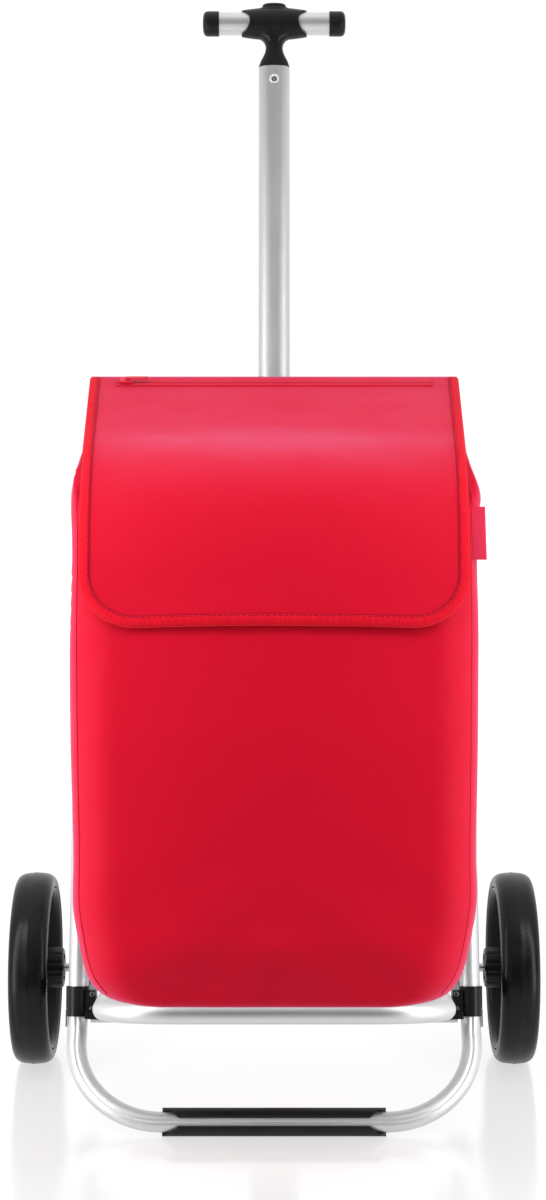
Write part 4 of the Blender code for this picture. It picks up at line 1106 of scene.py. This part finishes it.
def bag_seams(cut):
    """Welted seams down the front corners of the bag."""
    welt = oval_points(0.0006, 0.0004, 10, 2)
    turn = math.radians(38)  # how far round the corner they run, from the side
    for side, sign in SIDES:
        lower, upper = [], []
        nx, ny = sign * math.cos(turn), -math.sin(turn)
        for i in range(121):
            z = BAG.floor + 0.006 + (BAG.top - 0.012 - BAG.floor) * i / 120
            x = sign * (BAG.half_width(z) - BAG_CORNER) + BAG_CORNER * nx
            y = BAG.front_y(z) + BAG_CORNER + BAG_CORNER * ny
            point = Vector(bag_point(x, y, nx, ny, z))
            (lower if z <= cut else upper).append(point)
        upper.insert(0, lower[-1])
        place(f"seam_upper_{side}", sweep("seam", upper, welt), FABRIC, "frame", "bag_fabric")
        tuck(place(f"seam_lower_{side}", sweep("seam", lower, welt), FABRIC, "frame", "bag_fabric"))
        line = [p + Vector((-0.0022 * sign, -0.0012, 0)) for p in upper if p.z < 0.40]
        sewn = stitches("seam stitches", line, [(nx, ny, 0)] * len(line), 0.0030, 0.0022, 0.00030)
        place(f"seam_stitches_{side}", sewn, THREAD_AND_CREASE_SHADE, "frame", "bag_fabric")


# Flap

class Flap:
    """The flap's middle line and width in the lean frame, read from its CAD sheet."""

    def __init__(self):
        co = np.array([UNLEAN @ v.co for v in NODES["bag_flap"].data.vertices])
        self.low_z = co[:, 2].min()
        hinge = UNLEAN @ Vector(JOINTS["flap_open"]["pos_m"])
        self.hinge = Vector((hinge.y, hinge.z))
        self.half_top = abs(co[:, 0]).max()
        self.half_low = self.half_top - 0.0087
        stand = 0.0030
        shoulder = Vector((BAG.shoulder_y, BAG.shoulder_z))
        slope = (Vector((BAG.rear, BAG.top)) - shoulder).normalized()
        front = Vector((-0.025, -0.109)).normalized()
        slope_out, front_out = Vector((-slope.y, slope.x)), Vector((front.y, -front.x))
        corner = shoulder + (slope_out + front_out) * stand / (1 + slope_out.dot(front_out))
        end = corner + front * ((self.low_z - corner.y) / front.y)
        route = rounded_route([((0, *self.hinge), 0), ((0, *corner), 0.200), ((0, *end), 0)], 0.004)
        self.line = [Vector((p.y, p.z)) for p in route]
        self.total = lengths([(0, *p) for p in self.line])
        self.length = self.total[-1]
        self.corner = 0.042

    def keep_below(self, point):
        """Push a point of the bag inwards where it would touch the flap."""
        clear = 0.0046
        here = Vector((point.y, point.z))
        best, gap, out = 0.0, 1.0, None
        for a, b, start in zip(self.line, self.line[1:], self.total):
            along = (b - a).normalized()
            share = min(max((here - a).dot(along), 0), (b - a).length)
            away = here - (a + along * share)
            if away.length < gap:
                best, gap, out, beside = start + share, away.length, Vector((along.y, -along.x)), away
        if out is None or best <= 0:
            return point
        side = 1 - smoothstep(self.half(best) + 0.003, self.half(best) + 0.016, abs(point.x))
        end = smoothstep(0, 0.025, self.length - best) if best < self.length else 0
        excess = beside.dot(out) + clear - self.belly(point.x, best)
        if excess <= 0 or side * end <= 0:
            return point
        move = out * excess * side * end
        return Vector((point.x, point.y - move.x, point.z - move.y))

    def at(self, length):
        k, part = spot(self.total, min(max(length, 0), self.length))
        a, b = self.line[k], self.line[k + 1]
        along = (b - a).normalized()
        return a.lerp(b, part), Vector((along.y, -along.x))

    def half(self, length):
        return self.half_top + (self.half_low - self.half_top) * length / self.length

    def edge(self, share):
        """The free edge from the left hinge corner (0) round the bottom to the right (1), as
        (x, length)."""
        straight = self.length - self.corner
        arc = self.corner * math.pi / 2
        bottom = 2 * (self.half(self.length) - self.corner)
        whole = 2 * straight + 2 * arc + bottom
        s = share * whole
        if s > whole / 2:
            x, length = self.edge(1 - share)
            return -x, length
        if s < straight:
            return -self.half(s), s
        s -= straight
        half = self.half(self.length)
        if s < arc:
            a = s / self.corner
            centre_x = -(half - self.corner)
            lean = self.half(straight) - half
            reach = self.corner + lean * (1 - a / (math.pi / 2))
            return centre_x - reach * math.cos(a), straight + self.corner * math.sin(a)
        s -= arc
        return -(half - self.corner) + s, self.length

    def belly(self, x, length):
        """How far the full bag swells the flap out: as the bag's front at the end, more above it."""
        share = min(1.0, max(0.0, length / self.length))
        across = max(0.0, 1 - (x / self.half(length)) ** 2)
        rounded = 0.0070 * math.sin(math.pi * smoothstep(0.30, 1.0, share)) * across
        return BAG.crown(x) * smoothstep(0.30, 0.75, share) + rounded

    def surface(self, x, length, lift=0.0):
        """A point on the flap, with its swell and gentle waves."""
        point, out = self.at(length)
        inside = min(1.0, max(0.0, (self.half(length) - abs(x)) / 0.05))
        free = smoothstep(0.01, 0.08, length)
        waves = 0.0013 * noise.noise((x * 8, length * 9, 1.7))
        waves += 0.0004 * noise.noise((x * 26, length * 30, 4))
        point = point + out * (lift + self.belly(x, length) + waves * inside * free)
        return Vector((x, point.x, point.y))

    def normal(self, length):
        _, out = self.at(length)
        return Vector((0, out.x, out.y))


FLAP = Flap()


def flap():
    """A filled sheet of cloth over the mouth and the front, bound along three edges."""
    along, wide = 110, 120
    rows, uvs = [], []
    for i in range(along + 1):
        length = FLAP.length * i / along
        left = FLAP.length - length
        half = FLAP.half(length)
        if left < FLAP.corner:
            half -= FLAP.corner - math.sqrt(max(0, FLAP.corner ** 2 - (FLAP.corner - left) ** 2))
        places = [half * (2 * j / wide - 1) for j in range(wide + 1)]
        rows.append([FLAP.surface(x, length) for x in places])
        uvs.append([(x, length) for x in places])
    mesh = thick_cloth(grid_mesh("flap cloth", rows, uvs), 0.0031, 0)
    piece = place("flap_cloth", mesh, FABRIC, "flap", "bag_fabric", "bag_flap")
    binding()
    zip_line()


def binding():
    """Ribbed tape folded over the flap's edge, with its inner stitch line and a dark cord beside it as a
    painted shade line in the crease.
    """
    steps = 260
    rows, uvs, line, normals, seams = [], [], [], [], []
    wide, thick = 0.0070, 0.0029
    distance = 0.0
    for i in range(steps + 1):
        share = 0.004 + 0.992 * i / steps
        x, length = FLAP.edge(share)
        x2, length2 = FLAP.edge(min(1, share + 0.002))
        x1, length1 = FLAP.edge(max(0, share - 0.002))
        here = FLAP.surface(x, length)
        along = (FLAP.surface(x2, length2) - FLAP.surface(x1, length1)).normalized()
        normal = FLAP.normal(length)
        inward = normal.cross(along).normalized()
        step = Vector((length2 - length1, x1 - x2)).normalized()
        if line:
            distance += (here - line[-1]).length
        section = [(wide, thick * 0.62), (wide * 0.9, thick * 0.98), (wide * 0.5, thick),
                   (wide * 0.12, thick * 0.86), (-0.0010, thick * 0.35), (-0.0010, -thick * 0.35),
                   (wide * 0.12, -thick * 0.8), (wide * 0.5, -thick * 0.9), (wide * 0.9, -thick * 0.85),
                   (wide, -thick * 0.5)]
        rows.append([FLAP.surface(x + step.x * max(a, 0), length + step.y * max(a, 0), b) + inward * min(a, 0)
                     for a, b in section])
        uvs.append([(distance, 0.0012 * k) for k in range(len(section) + 1)])
        line.append(here)
        normals.append(normal)
        seams.append([FLAP.surface(x + step.x * a, length + step.y * a, b * thick)
                      for a, b in ((wide - 0.0012, 0.95), (wide + 0.0003, 0.62))])
    mesh = shade(grid_mesh("binding", rows, uvs, wrap=True, caps=True), 60)
    place("flap_binding", mesh, BINDING, "flap", "bag_fabric")
    # The crease cord is painted shade: dark thread laid along the binding's inner edge, where the crease is
    # shaded.
    threads = [stitches("binding stitches", [seam[0] for seam in seams], normals),
               sweep("crease shade cord", [seam[1] for seam in seams], ring_section(0.00035, 8))]
    place("binding_stitches_and_crease_shade", joined("binding stitches", threads), THREAD_AND_CREASE_SHADE, "flap", "bag_fabric")


def zip_line():
    middle, size = extent("zip_tape")
    length = (Vector((middle.y, middle.z)) - FLAP.hinge).length
    half, wide = size.x, 0.0055
    rows, uvs = [], []
    for i in range(61):
        x = half * (2 * i / 60 - 1)
        row, uv = [], []
        for offset, lift in ((-wide, 0.0017), (-wide, 0.0024), (-0.0012, 0.0026), (-0.0008, 0.0019),
                             (0.0008, 0.0019), (0.0012, 0.0026), (wide, 0.0024), (wide, 0.0017)):
            row.append(FLAP.surface(x, length + offset, lift))
            uv.append((x, offset))
        rows.append(row)
        uvs.append(uv + uv[:1])
    place("zip_cloth", shade(grid_mesh("zip cloth", rows, uvs, wrap=True, caps=True), 40), ZIP_CLOTH, "flap",
          "zip_fabric", "zip_tape")
    teeth, pitch = [], 0.0016
    count = int(2 * half / pitch)
    for i in range(count):
        x = -half + (i + 0.5) * pitch
        side = 0.00035 if i % 2 else -0.00035
        a = FLAP.surface(x, length - 0.0011 + side, 0.0024)
        b = FLAP.surface(x, length + 0.0011 + side, 0.0024)
        teeth.append(sweep("tooth", [a, a.lerp(b, 0.5), b], ring_section(0.00042, 6)))
    place("zip_teeth", joined("zip teeth", teeth), ZIP_PAINT, "flap", "zip_fabric")
    for node in ("zip_slider", "zip_pull"):
        finish_node(node, ZIP_PAINT, 0.0004)


def straps_and_label():
    for node in ("hang_strap_left", "hang_strap_right", "pole_strap"):
        finish_node(node, WEBBING, 0.0003)
    low, high = span("side_label")
    tall = high.z - low.z
    wide, thick = high.x - low.x, 0.0005
    rows, uvs = [], []
    for i in range(25):
        z = low.z + tall * i / 24
        middle = low.y + thick + (high.y - low.y - 2 * thick) * i / 24
        row, uv = [], []
        for k in range(21):
            share = k / 20
            if share < 0.45:
                a, b = share / 0.45 * 0.94, 1
            elif share > 0.55:
                a, b = (1 - share) / 0.45 * 0.94, -1
            else:
                turn = (share - 0.45) / 0.10 * math.pi
                a, b = 0.94 + 0.06 * math.sin(turn), math.cos(turn)
            curl = 0.0006 * math.sin(math.pi * i / 24) * a
            row.append((low.x + wide * a - 0.0006, middle + b * thick * 0.8 + curl, z))
            uv.append((wide * a, z))
        rows.append(row)
        uvs.append(uv + uv[:1])
    place("blank_tab", shade(grid_mesh("blank tab", rows, uvs, wrap=True, caps=True), 60), LABEL, "frame",
          "label_fabric", "side_label")


stage_and_camera()
wheels()
tubes()
foot_pad()
fittings()
handle()
bag()
flap()
straps_and_label()
